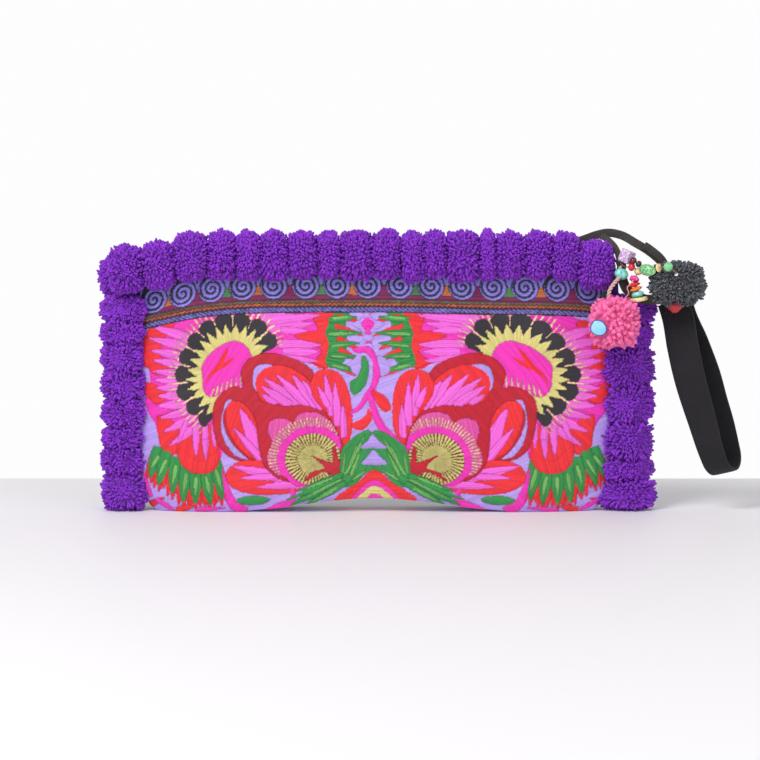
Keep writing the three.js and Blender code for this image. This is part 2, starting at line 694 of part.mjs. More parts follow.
const ACROSS = "bead_thread_across";
const DOWN = "bead_thread_down";
const CORD = "pompom_cord";
const BEADS = [
  { name: "glass_cube", thread: ACROSS, knot: 1, profile: "cube", length: 7.4, diameter: 7.4 },
  { name: "leaf_bead", thread: ACROSS, knot: 4, profile: ROUND, length: 12, diameter: 7.4, flat: 0.7 },
  { name: "jade_bead", thread: ACROSS, knot: 6, profile: ROUND, length: 5.6, diameter: 5.8 },
  { name: "cream_bead", thread: DOWN, knot: 3, profile: ROUND, length: 4.6, diameter: 5.4 },
  { name: "magenta_bead", thread: DOWN, knot: 4.05, profile: ROUND, length: 3.6, diameter: 5.8 },
  { name: "red_disc_bead", thread: DOWN, knot: 5.1, profile: DISC, length: 2, diameter: 7.2 },
  { name: "orange_disc_bead", thread: DOWN, knot: 6, profile: DISC, length: 2, diameter: 7.2 },
  { name: "teal_bead", thread: DOWN, knot: 6.95, profile: ROUND, length: 3.2, diameter: 7.4 },
  { name: "shell_disc", thread: DOWN, knot: 7.9, profile: DISC, length: 1.8, diameter: 11 },
  { name: "turquoise_bead", thread: CORD, knot: 1, profile: ROUND, length: 7, diameter: 8.8, flat: 0.8 },
];
const BEAD_COLORS = {
  glass_cube: 0xe1c8e6,
  leaf_bead: 0x3cbe5a,
  jade_bead: 0x78d796,
  cream_bead: 0xfad78c,
  magenta_bead: 0xeb32a0,
  red_disc_bead: 0xdc1e32,
  orange_disc_bead: 0xff8c00,
  teal_bead: 0x50c8b4,
  shell_disc: 0xf4e2c4,
  turquoise_bead: 0x64d7c3,
};
for (const bead of BEADS) {
  add(bead.name, fromSolid(beadOnThread(bead)), BEAD_COLORS[bead.name], 0.3);
}

// The flat bead on the pink pompom: a rounded triangle, domed by its bevel.
function skyBlueBead(clearance) {
  const outline = new THREE.Shape();
  for (let i = 0; i < SKY_BLUE_SIDES; i++) {
    const angle = (2 * Math.PI * i) / SKY_BLUE_SIDES;
    const corner = SKY_BLUE_CORNER * Math.cos(3 * angle);
    const reach = SKY_BLUE_RADIUS - SKY_BLUE_BEVEL + clearance + corner;
    const point = [-reach * Math.sin(angle), reach * Math.cos(angle)];
    if (i === 0) outline.moveTo(...point);
    else outline.lineTo(...point);
  }
  outline.closePath();
  const bead = new THREE.ExtrudeGeometry(outline, {
    depth: SKY_BLUE_RIM + 2 * clearance,
    bevelSize: SKY_BLUE_BEVEL,
    bevelThickness: SKY_BLUE_BEVEL,
    bevelSegments: 2,
  });
  bead.rotateX(Math.PI / 2);
  const { x, y, z } = fromCorner(SKY_BLUE_BEAD_AT);
  bead.translate(x, y + SKY_BLUE_RIM / 2 + clearance, z);
  return bead;
}
add("sky_blue_bead", skyBlueBead(0), 0x64c3f5, 0.3);

// Gathered tip of cloth under the charcoal pompom: rows from its tied top to its open edge.
const TIP_ROWS = [
  { down: -3.5, out: 1.2 },
  { down: 0, out: 2.6 },
  { down: 3.5, out: 4.4 },
];
const TIP_PLEAT = 0.14;
const TIP_FLATNESS = 0.6;
function clothTip(clearance) {
  const { x, y, z } = fromCorner(CLOTH_TIP_AT);
  const rings = TIP_ROWS.map((row) =>
    Array.from({ length: BEAD_SIDES }, (_, i) => {
      const angle = (2 * Math.PI * i) / BEAD_SIDES;
      const out = (row.out + clearance) * (1 + TIP_PLEAT * (i % 2));
      const across = out * Math.cos(angle);
      const deep = TIP_FLATNESS * out * Math.sin(angle);
      return new THREE.Vector3(x + across, y + deep, z - row.down);
    }),
  );
  return loftGeometry(rings);
}
add("cloth_tip", clothTip(0), 0xd23246);

// Pompoms: a head of yarn with its locks standing out, cut clear of whatever it sits against.

const scatter = (a, b) => {
  const value = Math.sin(a * 12.9898 + b * 78.233) * 43758.5453;
  return value - Math.floor(value);
};

// Rings of a pompom from one flattened side to the other, as shares of half its width and of its reach.
const SQUASHED = [
  { along: -0.97, out: 0.5 },
  { along: -0.62, out: 0.93 },
  { along: 0.62, out: 0.93 },
  { along: 0.97, out: 0.5 },
];
const ROUND_BALL = [
  { along: -0.84, out: 0.54 },
  { along: -0.34, out: 0.93 },
  { along: 0.34, out: 0.93 },
  { along: 0.84, out: 0.54 },
];

// Locks stand out all round an axis along the row. size.row says which of the two directions that is.
function pompomForm(at, size, seed, form) {
  const turned = (along, up, front) => {
    const [x, z] = size.row === "z" ? [up, along] : [along, up];
    return new THREE.Vector3(x * size.x, front * size.y, z * size.z).divideScalar(2).add(vector(at));
  };
  const points = [turned(-1, 0, 0)];
  form.forEach((ring, r) => {
    for (let k = 0; k < POMPOM_LOCKS; k++) {
      const angle = (2 * Math.PI * (k + 0.5 * (r % 2))) / POMPOM_LOCKS;
      const short = scatter(k + POMPOM_LOCKS * r, seed) > HOLLOWS ? 0 : LOCK_DEPTH;
      const reach = ring.out * (LOCK_REACH - short);
      points.push(turned(ring.along, reach * Math.cos(angle), reach * Math.sin(angle)));
    }
  });
  points.push(turned(1, 0, 0));
  const triangles = [];
  const last = points.length - 1;
  const point = (r, k) => 1 + r * POMPOM_LOCKS + (k % POMPOM_LOCKS);
  for (let k = 0; k < POMPOM_LOCKS; k++) {
    triangles.push([0, point(0, k + 1), point(0, k)]);
    triangles.push([last, point(form.length - 1, k), point(form.length - 1, k + 1)]);
    for (let r = 0; r + 1 < form.length; r++) {
      const [a, b, c, d] = [point(r, k), point(r, k + 1), point(r + 1, k), point(r + 1, k + 1)];
      if (r % 2 === 0) triangles.push([a, b, c], [b, d, c]);
      else triangles.push([a, d, c], [a, b, d]);
    }
  }
  return toSolid(closedGeometry(points, triangles));
}

const keptClear = [
  pouchSpace(FRONT, FRONT_DENTS, CLEARANCE),
  pouchSpace(BACK, BACK_DENTS, CLEARANCE),
  toSolid(trimGeometry(CLEARANCE)),
  thongSolid(CLEARANCE),
  toSolid(strapGeometry(CLEARANCE)),
  sliderSpace(),
  channels.pompom_cord,
  channels.bead_thread_across,
  toSolid(skyBlueBead(CLEARANCE)),
  toSolid(clothTip(CLEARANCE)),
].reduce((all, solid) => all.add(solid));

function addPompom(name, at, size, seed, color, form = SQUASHED) {
  const cut = pompomForm(at, size, seed, form).subtract(keptClear);
  const largest = cut.decompose().sort((a, b) => b.volume() - a.volume())[0];
  add(name, fromSolid(largest), color, 1);
}

// Calls place(middle, width, number) for each pompom of a row that runs from start to end.
function alongRow(widths, start, end, place) {
  const total = widths.reduce((sum, width) => sum + width, 0);
  let done = 0;
  widths.forEach((width, i) => {
    const middle = start + ((done + width / 2) / total) * (end - start);
    place(middle, (width / total) * Math.abs(end - start) - CLEARANCE, i + 1);
    done += width;
  });
}

const numbered = (name, number) => name + "_" + String(number).padStart(2, "0");

const topStart = -HALF_LENGTH - TOP_ROW_PAST_LEFT;
const topEnd = HALF_LENGTH - TOP_ROW_SHORT_RIGHT;
alongRow(TOP_WIDTHS, topStart, topEnd, (x, width, number) => {
  const share = THREE.MathUtils.clamp(x / HALF_LENGTH, -1, 1);
  const at = { x, y: -TOP_ROW_FORWARD, z: mouthHeight(share) - TOP_ROW_DROP };
  const size = { x: width, y: POMPOM_DEPTH, z: POMPOM_ACROSS };
  addPompom(numbered("pompom_top", number), at, size, number, PURPLE);
});

// Behind the first pompom of the top row, against the back of the tape's corner.
addPompom(
  "pompom_corner",
  {
    x: -HALF_LENGTH - CORNER_POMPOM_OUT,
    y: (POMPOM_DEPTH + CORNER_POMPOM_DEPTH) / 2 - TOP_ROW_FORWARD + CLEARANCE,
    z: mouthHeight(-1) - LEFT_DROOP,
  },
  { x: CORNER_POMPOM_WIDTH, y: CORNER_POMPOM_DEPTH, z: CORNER_POMPOM_HEIGHT },
  50,
  PURPLE,
);

const SIDE_ROWS = [
  { name: "pompom_left", widths: LEFT_WIDTHS, side: -1 },
  { name: "pompom_right", widths: RIGHT_WIDTHS, side: 1 },
];
for (const { name, widths, side } of SIDE_ROWS) {
  alongRow(widths, FLOOR_GAP, POUCH_HEIGHT - SIDE_ROW_DROP, (z, width, number) => {
    const at = { x: side * (HALF_LENGTH + SIDE_ROW_OUT), y: 0, z };
    const size = { x: POMPOM_ACROSS, y: POMPOM_DEPTH, z: width, row: "z" };
    addPompom(numbered(name, number), at, size, number + 100 * side, PURPLE);
  });
}

const round = (diameter) => ({ x: diameter, y: diameter, z: diameter });
const pinkAt = fromCorner(PINK_POMPOM_AT);
addPompom("pink_pompom", pinkAt, round(PINK_POMPOM_DIAMETER), 7, 0xf55aa5, ROUND_BALL);
const charcoalSize = { x: CHARCOAL_POMPOM_WIDTH, y: CHARCOAL_POMPOM_DEPTH, z: CHARCOAL_POMPOM_HEIGHT };
const charcoalAt = fromCorner(CHARCOAL_POMPOM_AT);
addPompom("charcoal_pompom", charcoalAt, charcoalSize, 9, 0x2d3037, ROUND_BALL);

// The origin is the bottom centre of the whole wristlet's box.
const box = new THREE.Box3().setFromObject(wristlet);
const middle = box.getCenter(new THREE.Vector3());
wristlet.position.set(-middle.x, -middle.y, -box.min.z);
wristlet.updateMatrixWorld(true);

export default wristlet;
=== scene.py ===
"""Looks of a standing zip wristlet: embroidered front, yarn pompoms, suede thong with charms, wrist strap.

Metres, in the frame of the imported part: +Z up, the front faces -Y.
"""

import math

import bpy
import numpy as np
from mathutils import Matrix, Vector


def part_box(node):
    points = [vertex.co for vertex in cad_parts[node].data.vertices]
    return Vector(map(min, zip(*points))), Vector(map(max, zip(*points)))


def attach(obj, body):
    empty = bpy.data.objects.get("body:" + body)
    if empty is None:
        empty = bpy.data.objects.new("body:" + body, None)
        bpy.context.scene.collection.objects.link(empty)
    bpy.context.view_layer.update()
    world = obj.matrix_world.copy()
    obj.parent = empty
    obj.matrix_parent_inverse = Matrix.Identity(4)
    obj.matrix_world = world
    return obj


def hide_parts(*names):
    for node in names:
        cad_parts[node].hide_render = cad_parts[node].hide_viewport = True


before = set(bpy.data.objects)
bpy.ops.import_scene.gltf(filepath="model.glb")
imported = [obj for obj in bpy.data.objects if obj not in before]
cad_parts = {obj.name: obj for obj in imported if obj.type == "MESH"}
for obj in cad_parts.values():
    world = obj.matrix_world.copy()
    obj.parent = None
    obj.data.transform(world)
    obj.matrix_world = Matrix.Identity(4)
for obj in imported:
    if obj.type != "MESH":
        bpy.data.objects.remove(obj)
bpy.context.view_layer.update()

# Embroidered front: one panel of lilac cloth from the zip down to the middle of the base, covered with
# satin stitch in silky thread. It is sewn to the back panel along the sides and under the base.

MM = 0.001
HALF_LENGTH = 150 * MM
POUCH_HEIGHT = 166 * MM
CLOTH = 2 * MM
BELLY_DEPTH = 38 * MM
MOUTH_WIDTH = 14 * MM
BASE_ARCH = 9 * MM
CORNER_TUCK = 9 * MM
LEFT_DROOP = 9 * MM
RIGHT_DROOP = 7 * MM
SEAM_HALF = 0.9 * MM
FOOT_START = 0.7  # share of the half length where the flat feet begin

# Rows from the base to the mouth: how far up, depth from the mouth's (0) to the belly's (1), and the
# share of the corner's tuck.
SECTIONS = np.array([
    (0, 0.66, 1),
    (0.02, 0.82, 0.72),
    (0.06, 0.94, 0.36),
    (0.14, 1, 0.06),
    (0.25, 0.99, 0),
    (0.38, 0.91, 0),
    (0.52, 0.76, 0),
    (0.66, 0.56, 0),
    (0.8, 0.32, 0),
    (0.91, 0.12, 0.08),
    (1, 0, 0.25),
])

# Dents: place along the half length and up, reach both ways, depth as a share of the belly.
FRONT_DENTS = [
    (-0.03, 0.04, 0.15, 0.22, 0.26),
    (-0.55, 0.16, 0.1, 0.4, 0.1),
    (0.5, 0.2, 0.09, 0.36, 0.1),
    (0.08, 0.62, 0.22, 0.13, 0.09),
    (-0.72, 0.6, 0.12, 0.3, 0.12),
    (0.74, 0.55, 0.1, 0.3, 0.1),
]

front_low, front_high = (np.array(corner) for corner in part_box("front_panel"))
back_low = np.array(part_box("back_panel")[0])
POUCH_MIDDLE = np.array([(front_low[0] + front_high[0]) / 2, (front_high[1] + back_low[1]) / 2, 0])


def smoothstep(value, low, high):
    """0 below low, 1 above high, and the cubic 3tt - 2ttt between them."""
    t = np.clip((value - low) / (high - low), 0, 1)
    return t * t * (3 - 2 * t)


def through(at, xs, ys):
    """A smooth curve through points: cubics whose slope at a point is that between its neighbours."""
    xs, ys = np.asarray(xs, float), np.asarray(ys, float)
    slope = np.gradient(ys, xs)
    at = np.clip(at, xs[0], xs[-1])
    i = np.clip(np.searchsorted(xs, at, side="right") - 1, 0, len(xs) - 2)
    step = xs[i + 1] - xs[i]
    t = (at - xs[i]) / step
    here = (1 + 2 * t) * (1 - t) ** 2 * ys[i] + t * (1 - t) ** 2 * step * slope[i]
    there = t * t * (3 - 2 * t) * ys[i + 1] + t * t * (t - 1) * step * slope[i + 1]
    return here + there


def mouth_height(share):
    """Height of the mouth's edge, which falls by each end's droop over the last quarter."""
    fall = np.where(share < 0, LEFT_DROOP, RIGHT_DROOP)
    return POUCH_HEIGHT - fall * smoothstep(np.abs(share), 0.72, 1)


def base_height(share):
    """Height of the base: a squared cosine arch between two flat feet."""
    return BASE_ARCH * np.cos(np.pi / 2 * np.minimum(np.abs(share) / FOOT_START, 1)) ** 2


def inner_wall(share, up, side, dents):
    """Inner face of one half of the pouch over its length (share) and height (up).

    The half depth is the section's, closed towards the side seams by (1 - share^5)^0.55, less a bell
    shape for each dent.
    """
    depth = through(up, SECTIONS[:, 0], SECTIONS[:, 1])
    tuck = through(up, SECTIONS[:, 0], SECTIONS[:, 2])
    full = (MOUTH_WIDTH + (BELLY_DEPTH - MOUTH_WIDTH) * depth) / 2
    closing = np.maximum(0, 1 - np.abs(share) ** 5) ** 0.55
    dented = sum(
        deep * np.exp(-(((share - along) / wide) ** 2) - ((up - high) / tall) ** 2)
        for along, high, wide, tall, deep in dents
    )
    half = SEAM_HALF + (full - SEAM_HALF) * closing - dented * closing * BELLY_DEPTH * depth / 2
    low = base_height(share) + CLOTH
    x = share * (HALF_LENGTH - CORNER_TUCK * tuck)
    z = low + (mouth_height(share) - low) * up
    return np.stack(np.broadcast_arrays(x, side * np.maximum(SEAM_HALF, half), z), -1) + POUCH_MIDDLE


def unit(vectors):
    """Vectors brought to length 1."""
    return vectors / np.maximum(np.linalg.norm(vectors, axis=-1, keepdims=True), 1e-12)


def cloth_panel(side, dents, cell):
    """Outer face of one panel as a grid: floor, rounded lower edge, wall, rolled top edge and hem.

    Each row is an inner point plus the cloth's thickness along a direction that turns from straight
    down, through the wall's own normal, over the top edge to the inside.
    Returns the points, those directions, the number of floor rows, and the number of rows in the floor,
    corner and wall together.
    """
    flat_columns = int(2 * HALF_LENGTH / cell)
    near_end = 1 - 0.014 * (np.arange(5, -1, -1) / 5) ** 2
    share = np.concatenate([-near_end[::-1], np.linspace(-0.985, 0.985, flat_columns), near_end])
    wall_rows = int(POUCH_HEIGHT / cell)
    wall = inner_wall(share[None, :], np.linspace(0, 1, wall_rows)[:, None], side, dents)
    normal = unit(-side * np.cross(np.gradient(wall, axis=1), np.gradient(wall, axis=0)))
    ends = np.clip((1 - np.abs(share)) * HALF_LENGTH / (2.5 * MM), 0, 1)
    thick = (CLOTH * np.sqrt(ends))[None, :, None]

    down = np.array([0, 0, -1.0])
    inwards = np.linspace(0, 1, int(17 * MM / cell))[:, None]
    middle_y = POUCH_MIDDLE[1] + side * 0.15 * MM
    floor = np.repeat(wall[:1], len(inwards), axis=0)
    floor[..., 1] = middle_y + (wall[0, :, 1] - middle_y) * inwards
    floor_out = np.broadcast_to(down, floor.shape)
    turn = np.linspace(0, 1, 5)[1:-1, None, None]
    corner = np.repeat(wall[:1], 3, axis=0)
    corner_out = unit((1 - turn) * down + turn * normal[:1])
    angle = np.linspace(0, np.pi, 7)[1:, None, None]
    rolled = np.cos(angle) * normal[-1:] - np.sin(angle) * down
    roll = np.repeat(wall[-1:], 6, axis=0) + thick / 2 * (normal[-1:] + rolled)
    hem = wall[-2 : -2 - int(12 * MM / cell) : -2]

    body = np.concatenate([floor, corner, wall])
    body_out = np.concatenate([floor_out, corner_out, normal])
    points = np.concatenate([body + thick * body_out, roll, hem])
    out = np.concatenate([body_out, rolled, -np.repeat(normal[-1:], len(hem), axis=0)])
    return points, out, len(floor), len(body)


CELL = 0.56 * MM
VIEW_TILT = math.radians(6)  # the chart was drawn as the front is seen from this far above
COUNT = 0.633 * MM  # the chart's unit
CHART_MIDDLE = 375  # counts from the chart's left to the middle of the pouch
CHART_FOOT = 512  # counts from the chart's top down to the table
FOOT_FRONT = 13 * MM  # the feet's front edge in front of the pouch's middle

front_points, front_out, floor_rows, body_rows = cloth_panel(-1, FRONT_DENTS, CELL)
offset = front_points - POUCH_MIDDLE
seen = offset[..., 2] * math.cos(VIEW_TILT) + (offset[..., 1] + FOOT_FRONT) * math.sin(VIEW_TILT)
travel = np.linalg.norm(np.diff(front_points, axis=0), axis=-1)
seen[:floor_rows] = seen[floor_rows] - np.cumsum(travel[:floor_rows][::-1], axis=0)[::-1]
seen[body_rows:] = seen[body_rows - 1] + np.cumsum(travel[body_rows - 1 :], axis=0)
chart_x = offset[..., 0] / COUNT + CHART_MIDDLE
chart_y = CHART_FOOT - seen / COUNT


def scatter(a, b=0.0):
    """An even spread of numbers from 0 to 1: the fraction left by a large multiple of a sine."""
    value = np.sin(np.asarray(a) * 12.9898 + np.asarray(b) * 78.233) * 43758.5453
    return value - np.floor(value)


# The ends of stitches are never quite in line.
RAGGED = 0.75
numbers = np.arange(chart_x.size).reshape(chart_x.shape)
ragged_x = chart_x + RAGGED * (scatter(numbers, 1) - 0.5)
ragged_y = chart_y + RAGGED * (scatter(numbers, 2) - 0.5)

# The right half mirrors the left one about a line that leans a little. It was worked wider, more so at
# the top: counts from the left, and how many counts wider there.
MIRROR_HEIGHTS = [320, 475]
MIRROR_X = [367.5, 374.5]
WIDER_AT = [369, 410, 460, 500, 552, 600, 620]
WIDER_HIGH = [0, 3, 5, 6, 15, 17, 18]
WIDER_LOW = [0, 2, 2, 2, 4, 6, 7]
UPPER_PART_ENDS, LOWER_PART_STARTS = 370, 440
mirror = np.interp(ragged_y, MIRROR_HEIGHTS, MIRROR_X)
lower = smoothstep(ragged_y, UPPER_PART_ENDS, LOWER_PART_STARTS)
wider_high, wider_low = (np.interp(ragged_x, WIDER_AT, counts) for counts in (WIDER_HIGH, WIDER_LOW))
wider = (1 - lower) * wider_high + lower * wider_low
u = np.where(ragged_x > mirror, 2 * mirror - ragged_x + wider, ragged_x)
v = ragged_y

THREADS = {
    "lilac": (190, 160, 244),
    "hot_pink": (250, 48, 190),
    "orchid": (251, 105, 224),
    "red": (247, 40, 50),
    "deep_red": (200, 12, 44),
    "pink": (236, 82, 172),
    "tan": (255, 206, 168),
    "brown": (112, 52, 40),
    "khaki": (228, 216, 132),
    "black": (38, 32, 42),
    "green": (44, 150, 72),
    "light_green": (118, 190, 98),
    "band": (44, 41, 58),
    "spiral": (150, 139, 238),
    "maroon": (104, 22, 52),
    "wine": (140, 26, 92),
    "orange": (214, 116, 58),
    "moss": (84, 140, 84),
}


def linear(red, green, blue):
    """A colour given as 0 to 255 on screen, as the light it stands for."""
    value = np.array([red, green, blue]) / 255
    return np.where(value <= 0.04045, value / 12.92, ((value + 0.055) / 1.055) ** 2.4)


dye = np.empty(u.shape + (3,))
dye[:] = linear(*THREADS["lilac"])
across = (chart_y * 0.94 + chart_x * 0.34) * COUNT
relief = np.zeros(u.shape)
RAISED = 0.4 * MM
FAN_REACH = 36  # counts from a fan's middle to where its threads have their own width
SOFT_EDGE = 2  # counts over which a patch rises from the cloth
ORCHID_HALF, STROKE_HALF = 0.62, 0.5  # orchid strokes were worked fuller


def stitch(place, inside, thread, lie, raised=RAISED, edge=None):
    """Covers the points that are inside with a thread that lies at an angle from level, or in a fan.

    across is the distance square to the threads: in a fan, their angle times its reach. The relief is
    raised over a short way from the edge.
    """
    hit = tuple(index[inside] for index in place)
    dye[hit] = linear(*THREADS[thread])
    if np.ndim(lie) == 0:
        turn = math.radians(lie)
        across[hit] = (u[hit] * math.sin(turn) + v[hit] * math.cos(turn)) * COUNT
    else:
        across[hit] = np.radians(lie[inside]) * FAN_REACH * COUNT
    relief[hit] = raised if edge is None else raised * smoothstep(edge[inside], 0, SOFT_EDGE)


def near(x0, y0, x1, y1, x=u):
    """Places on the cloth whose chart points lie in a box."""
    return np.nonzero((x >= x0) & (x <= x1) & (v >= y0) & (v <= y1) & BELOW_BAND)


def rounded(outline, steps=5):
    """A closed curve through the outline's points, each piece blended from its four nearest points."""
    p = np.asarray(outline, float)
    a, b, c, d = (np.roll(p, shift, axis=0)[:, None] for shift in (1, 0, -1, -2))
    t = (np.arange(steps) / steps)[None, :, None]
    curve = 2 * b + (c - a) * t + (2 * a - 5 * b + 4 * c - d) * t**2 + (3 * b - a - 3 * c + d) * t**3
    return (curve / 2).reshape(-1, 2)


def edges_of(curve, x, y):
    """Whether points lie inside a closed curve, by crossings, and their distance from it."""
    a, b = curve, np.roll(curve, -1, axis=0)
    crosses = (a[:, 1] > y[:, None]) != (b[:, 1] > y[:, None])
    rise = b[:, 1] - a[:, 1]
    at = a[:, 0] + (y[:, None] - a[:, 1]) * (b[:, 0] - a[:, 0]) / np.where(rise == 0, 1e-9, rise)
    inside = (crosses & (x[:, None] < at)).sum(axis=1) % 2 == 1
    length = ((b - a) ** 2).sum(axis=1)
    t = ((x[:, None] - a[:, 0]) * (b - a)[:, 0] + (y[:, None] - a[:, 1]) * (b - a)[:, 1]) / length
    t = np.clip(t, 0, 1)
    gap = np.hypot(x[:, None] - a[:, 0] - t * (b - a)[:, 0], y[:, None] - a[:, 1] - t * (b - a)[:, 1])
    return inside, gap.min(axis=1)


def patch(thread, lie, *outline, once=False):
    """A patch of satin stitch inside a rounded outline, on both halves or once where it is charted."""
    curve = rounded(outline)
    (x0, y0), (x1, y1) = curve.min(axis=0), curve.max(axis=0)
    x = ragged_x if once else u
    place = near(x0, y0, x1, y1, x)
    inside, edge = edges_of(curve, x[place], v[place])
    stitch(place, inside, thread, lie, edge=edge)


def strokes(thread, *rows):
    """Flame-shaped strokes, each from its wide root to its pointed tip: x, y, x, y, width."""
    for x0, y0, x1, y1, width in rows:
        half = width * (ORCHID_HALF if thread == "orchid" else STROKE_HALF)
        place = near(min(x0, x1) - half, min(y0, y1) - half, max(x0, x1) + half, max(y0, y1) + half)
        x, y = u[place] - x0, v[place] - y0
        length = math.hypot(x1 - x0, y1 - y0)
        along = (x * (x1 - x0) + y * (y1 - y0)) / length**2
        aside = np.abs(x * (y1 - y0) - y * (x1 - x0)) / length
        reach = 1.06 * half * np.clip(1 - along, 0, 1) ** 0.62 * (0.6 + 0.8 * np.clip(along, 0, 0.5))
        inside = (along > -0.04) & (aside < reach)
        stitch(place, inside, thread, math.degrees(math.atan2(y1 - y0, -(x1 - x0))), edge=reach - aside)


# The woven band's lower edge: counts along and counts down.
BAND_EDGE = np.array([(130, 335), (137, 332), (165, 325), (200, 318), (250, 314), (300, 313), (400, 313),
                      (500, 315), (560, 316), (590, 318), (614, 323)])
band_up = through(chart_x, BAND_EDGE[:, 0], BAND_EDGE[:, 1]) - chart_y
BELOW_BAND = band_up < 0

# Fan flower: a heart in a spiked ring, a ring of black teeth, a pink ring and outer lobes.
patch("hot_pink", 20, (147, 332), (165, 322), (200, 312), (260, 308), (330, 308), (336, 325), (330, 350),
      (322, 367), (290, 364), (262, 360), (245, 395), (228, 428), (222, 455), (215, 470), (200, 474),
      (184, 466), (178, 450), (165, 452), (159, 438), (155, 424), (147, 411), (145, 398), (150, 385),
      (149, 372), (146, 358), (143, 345))
patch("red", 15, (143, 366), (141, 350), (144, 334), (153, 326), (168, 320), (175, 325), (166, 337),
      (161, 352),
      (161, 368))
patch("red", 15, (147, 360), (152, 373), (163, 374), (173, 366), (161, 358))
patch("red", 15, (146, 382), (144, 392), (156, 404), (169, 397), (160, 387))
patch("red", 45, (157, 418), (158, 436), (162, 450), (172, 455), (184, 449), (188, 434), (176, 424),
      (164, 415))
patch("red", 80, (182, 434), (177, 450), (180, 463), (189, 472), (200, 475), (213, 472), (220, 463),
      (219, 445), (216, 428), (200, 424))
patch("red", 10, (318, 308), (340, 308), (335, 328), (331, 340), (332, 352), (328, 368), (312, 364),
      (322, 352),
      (314, 346), (300, 339), (294, 336), (304, 332), (318, 330), (314, 320))
patch("red", 20, (262, 352), (290, 357), (312, 363), (326, 369), (300, 366), (270, 362))
strokes("orchid",
        (196, 340, 152, 326, 11), (192, 348, 149, 338, 11), (188, 358, 151, 350, 11),
        (186, 366, 153, 360, 10),
        (184, 374, 153, 371, 9), (182, 381, 154, 380, 9), (182, 388, 156, 388, 9), (184, 396, 157, 396, 9),
        (186, 404, 158, 406, 10), (190, 411, 160, 418, 9), (194, 418, 163, 432, 9), (200, 424, 169, 446, 9),
        (196, 426, 196, 456, 8), (205, 426, 206, 460, 8), (214, 424, 215, 448, 7), (187, 420, 178, 444, 6),
        (266, 322, 322, 315, 10), (272, 330, 314, 323, 10), (282, 330, 308, 331, 8), (280, 344, 322, 345, 11),
        (284, 352, 320, 352, 10), (280, 358, 318, 361, 9), (262, 316, 300, 311, 8))

TOOTH_LINE = np.array([(271, 350), (264, 334), (251, 325), (235, 322), (219, 324), (206, 332), (197, 342),
                       (190, 354), (186, 367), (184, 380), (187, 393), (195, 405), (203, 414), (211, 421)])
HEART = np.array([232, 370])
TOOTH_PITCH = 17.3
SPIKE_PITCH = TOOTH_PITCH / 1.6
TICK_PITCH = 4.3


def along_line(line, x, y, middle):
    """Distance along a line's smooth course, and outwards from it, of the points x and y."""
    knot = np.arange(len(line))
    at = np.linspace(0, len(line) - 1, 260)
    curve = np.stack([through(at, knot, line[:, 0]), through(at, knot, line[:, 1])], -1)
    run = np.concatenate([[0], np.cumsum(np.linalg.norm(np.diff(curve, axis=0), axis=1))])
    gap = np.hypot(x[:, None] - curve[:, 0], y[:, None] - curve[:, 1])
    nearest = gap.argmin(axis=1)
    away = np.stack([x, y], -1) - curve[nearest]
    outwards = (away * (curve[nearest] - middle)).sum(axis=1) > 0
    return run[nearest], np.where(outwards, 1, -1) * gap.min(axis=1)


place = near(150, 300, 300, 450)
run, out = along_line(TOOTH_LINE, u[place], v[place], HEART)
turned = np.degrees(np.arctan2(v[place] - HEART[1], HEART[0] - u[place]))
tooth = np.abs(np.sin(np.pi * run / TOOTH_PITCH))
spike = 1 - np.abs(2 * (run / SPIKE_PITCH % 1) - 1)
tick = run / TICK_PITCH % 1
beside_line = (run > 0.3) & (run < run.max() - 0.3)
stitch(place, beside_line & (out > 2) & (out < 17) & (tick < 0.52 - 0.02 * out), "tan", turned)
stitch(place, beside_line & (out > -12) & (out < 3 + 6.5 * tooth**0.6), "black", turned, raised=0.55 * MM)
stitch(place, beside_line & (out > -4) & (out < 4) & (tooth < 0.1), "tan", turned)
stitch(place, (out > -26) & (out < -13 + 11 * spike), "khaki", turned)
patch("hot_pink", 60, (203, 378), (202, 366), (209, 355), (220, 346), (233, 341), (244, 344), (251, 353),
      (253, 362), (250, 374), (246, 386), (234, 388), (223, 392), (214, 397), (207, 395), (203, 387))
patch("red", 60, (205, 386), (209, 375), (216, 366), (222, 356), (228, 348), (227, 356), (225, 362),
      (234, 357), (228, 365), (218, 371), (210, 378))
strokes("tan", (211, 397, 215, 386, 2.4), (216, 395, 219, 384, 2.4), (221, 393, 223, 382, 2.4),
        (226, 391, 228, 380, 2.4), (231, 389, 232, 378, 2.4), (236, 388, 237, 377, 2.4),
        (241, 387, 241, 376, 2.4))

# Peony: deep red outlines, red petals with orchid strokes, and an eye of pink lobes round a khaki disc.
patch("lilac", 20, (300, 362), (312, 364), (322, 372), (314, 380), (306, 372))
patch("deep_red", 50, (213, 410), (216, 400), (224, 391), (236, 386), (244, 388), (241, 374), (246, 362),
      (257, 355), (272, 353), (292, 358), (308, 366), (317, 377), (322, 392), (330, 410), (340, 430),
      (346, 448),
      (345, 466), (337, 480), (318, 484), (296, 483), (276, 476), (258, 466), (242, 462), (227, 455),
      (217, 442), (213, 426))
patch("lilac", 60, (255, 368), (266, 364), (274, 366), (264, 371), (258, 380), (258, 392), (253, 384))
patch("red", 60, (258, 394), (256, 380), (263, 370), (276, 365), (291, 368), (306, 377), (316, 390),
      (324, 406),
      (300, 404), (278, 405), (264, 402))
strokes("orchid", (300, 405, 264, 378, 11), (308, 405, 276, 374, 10), (316, 406, 292, 374, 10),
        (290, 405, 261, 386, 10), (322, 408, 303, 380, 9), (276, 404, 261, 394, 7))
patch("lilac", 70, (226, 402), (233, 400), (226, 408), (223, 420), (228, 436), (238, 450), (248, 459),
      (236, 456), (225, 442), (221, 424))
patch("red", 70, (231, 402), (240, 401), (251, 411), (258, 428), (261, 446), (268, 464), (256, 460),
      (242, 452),
      (232, 438), (226, 422), (226, 409))
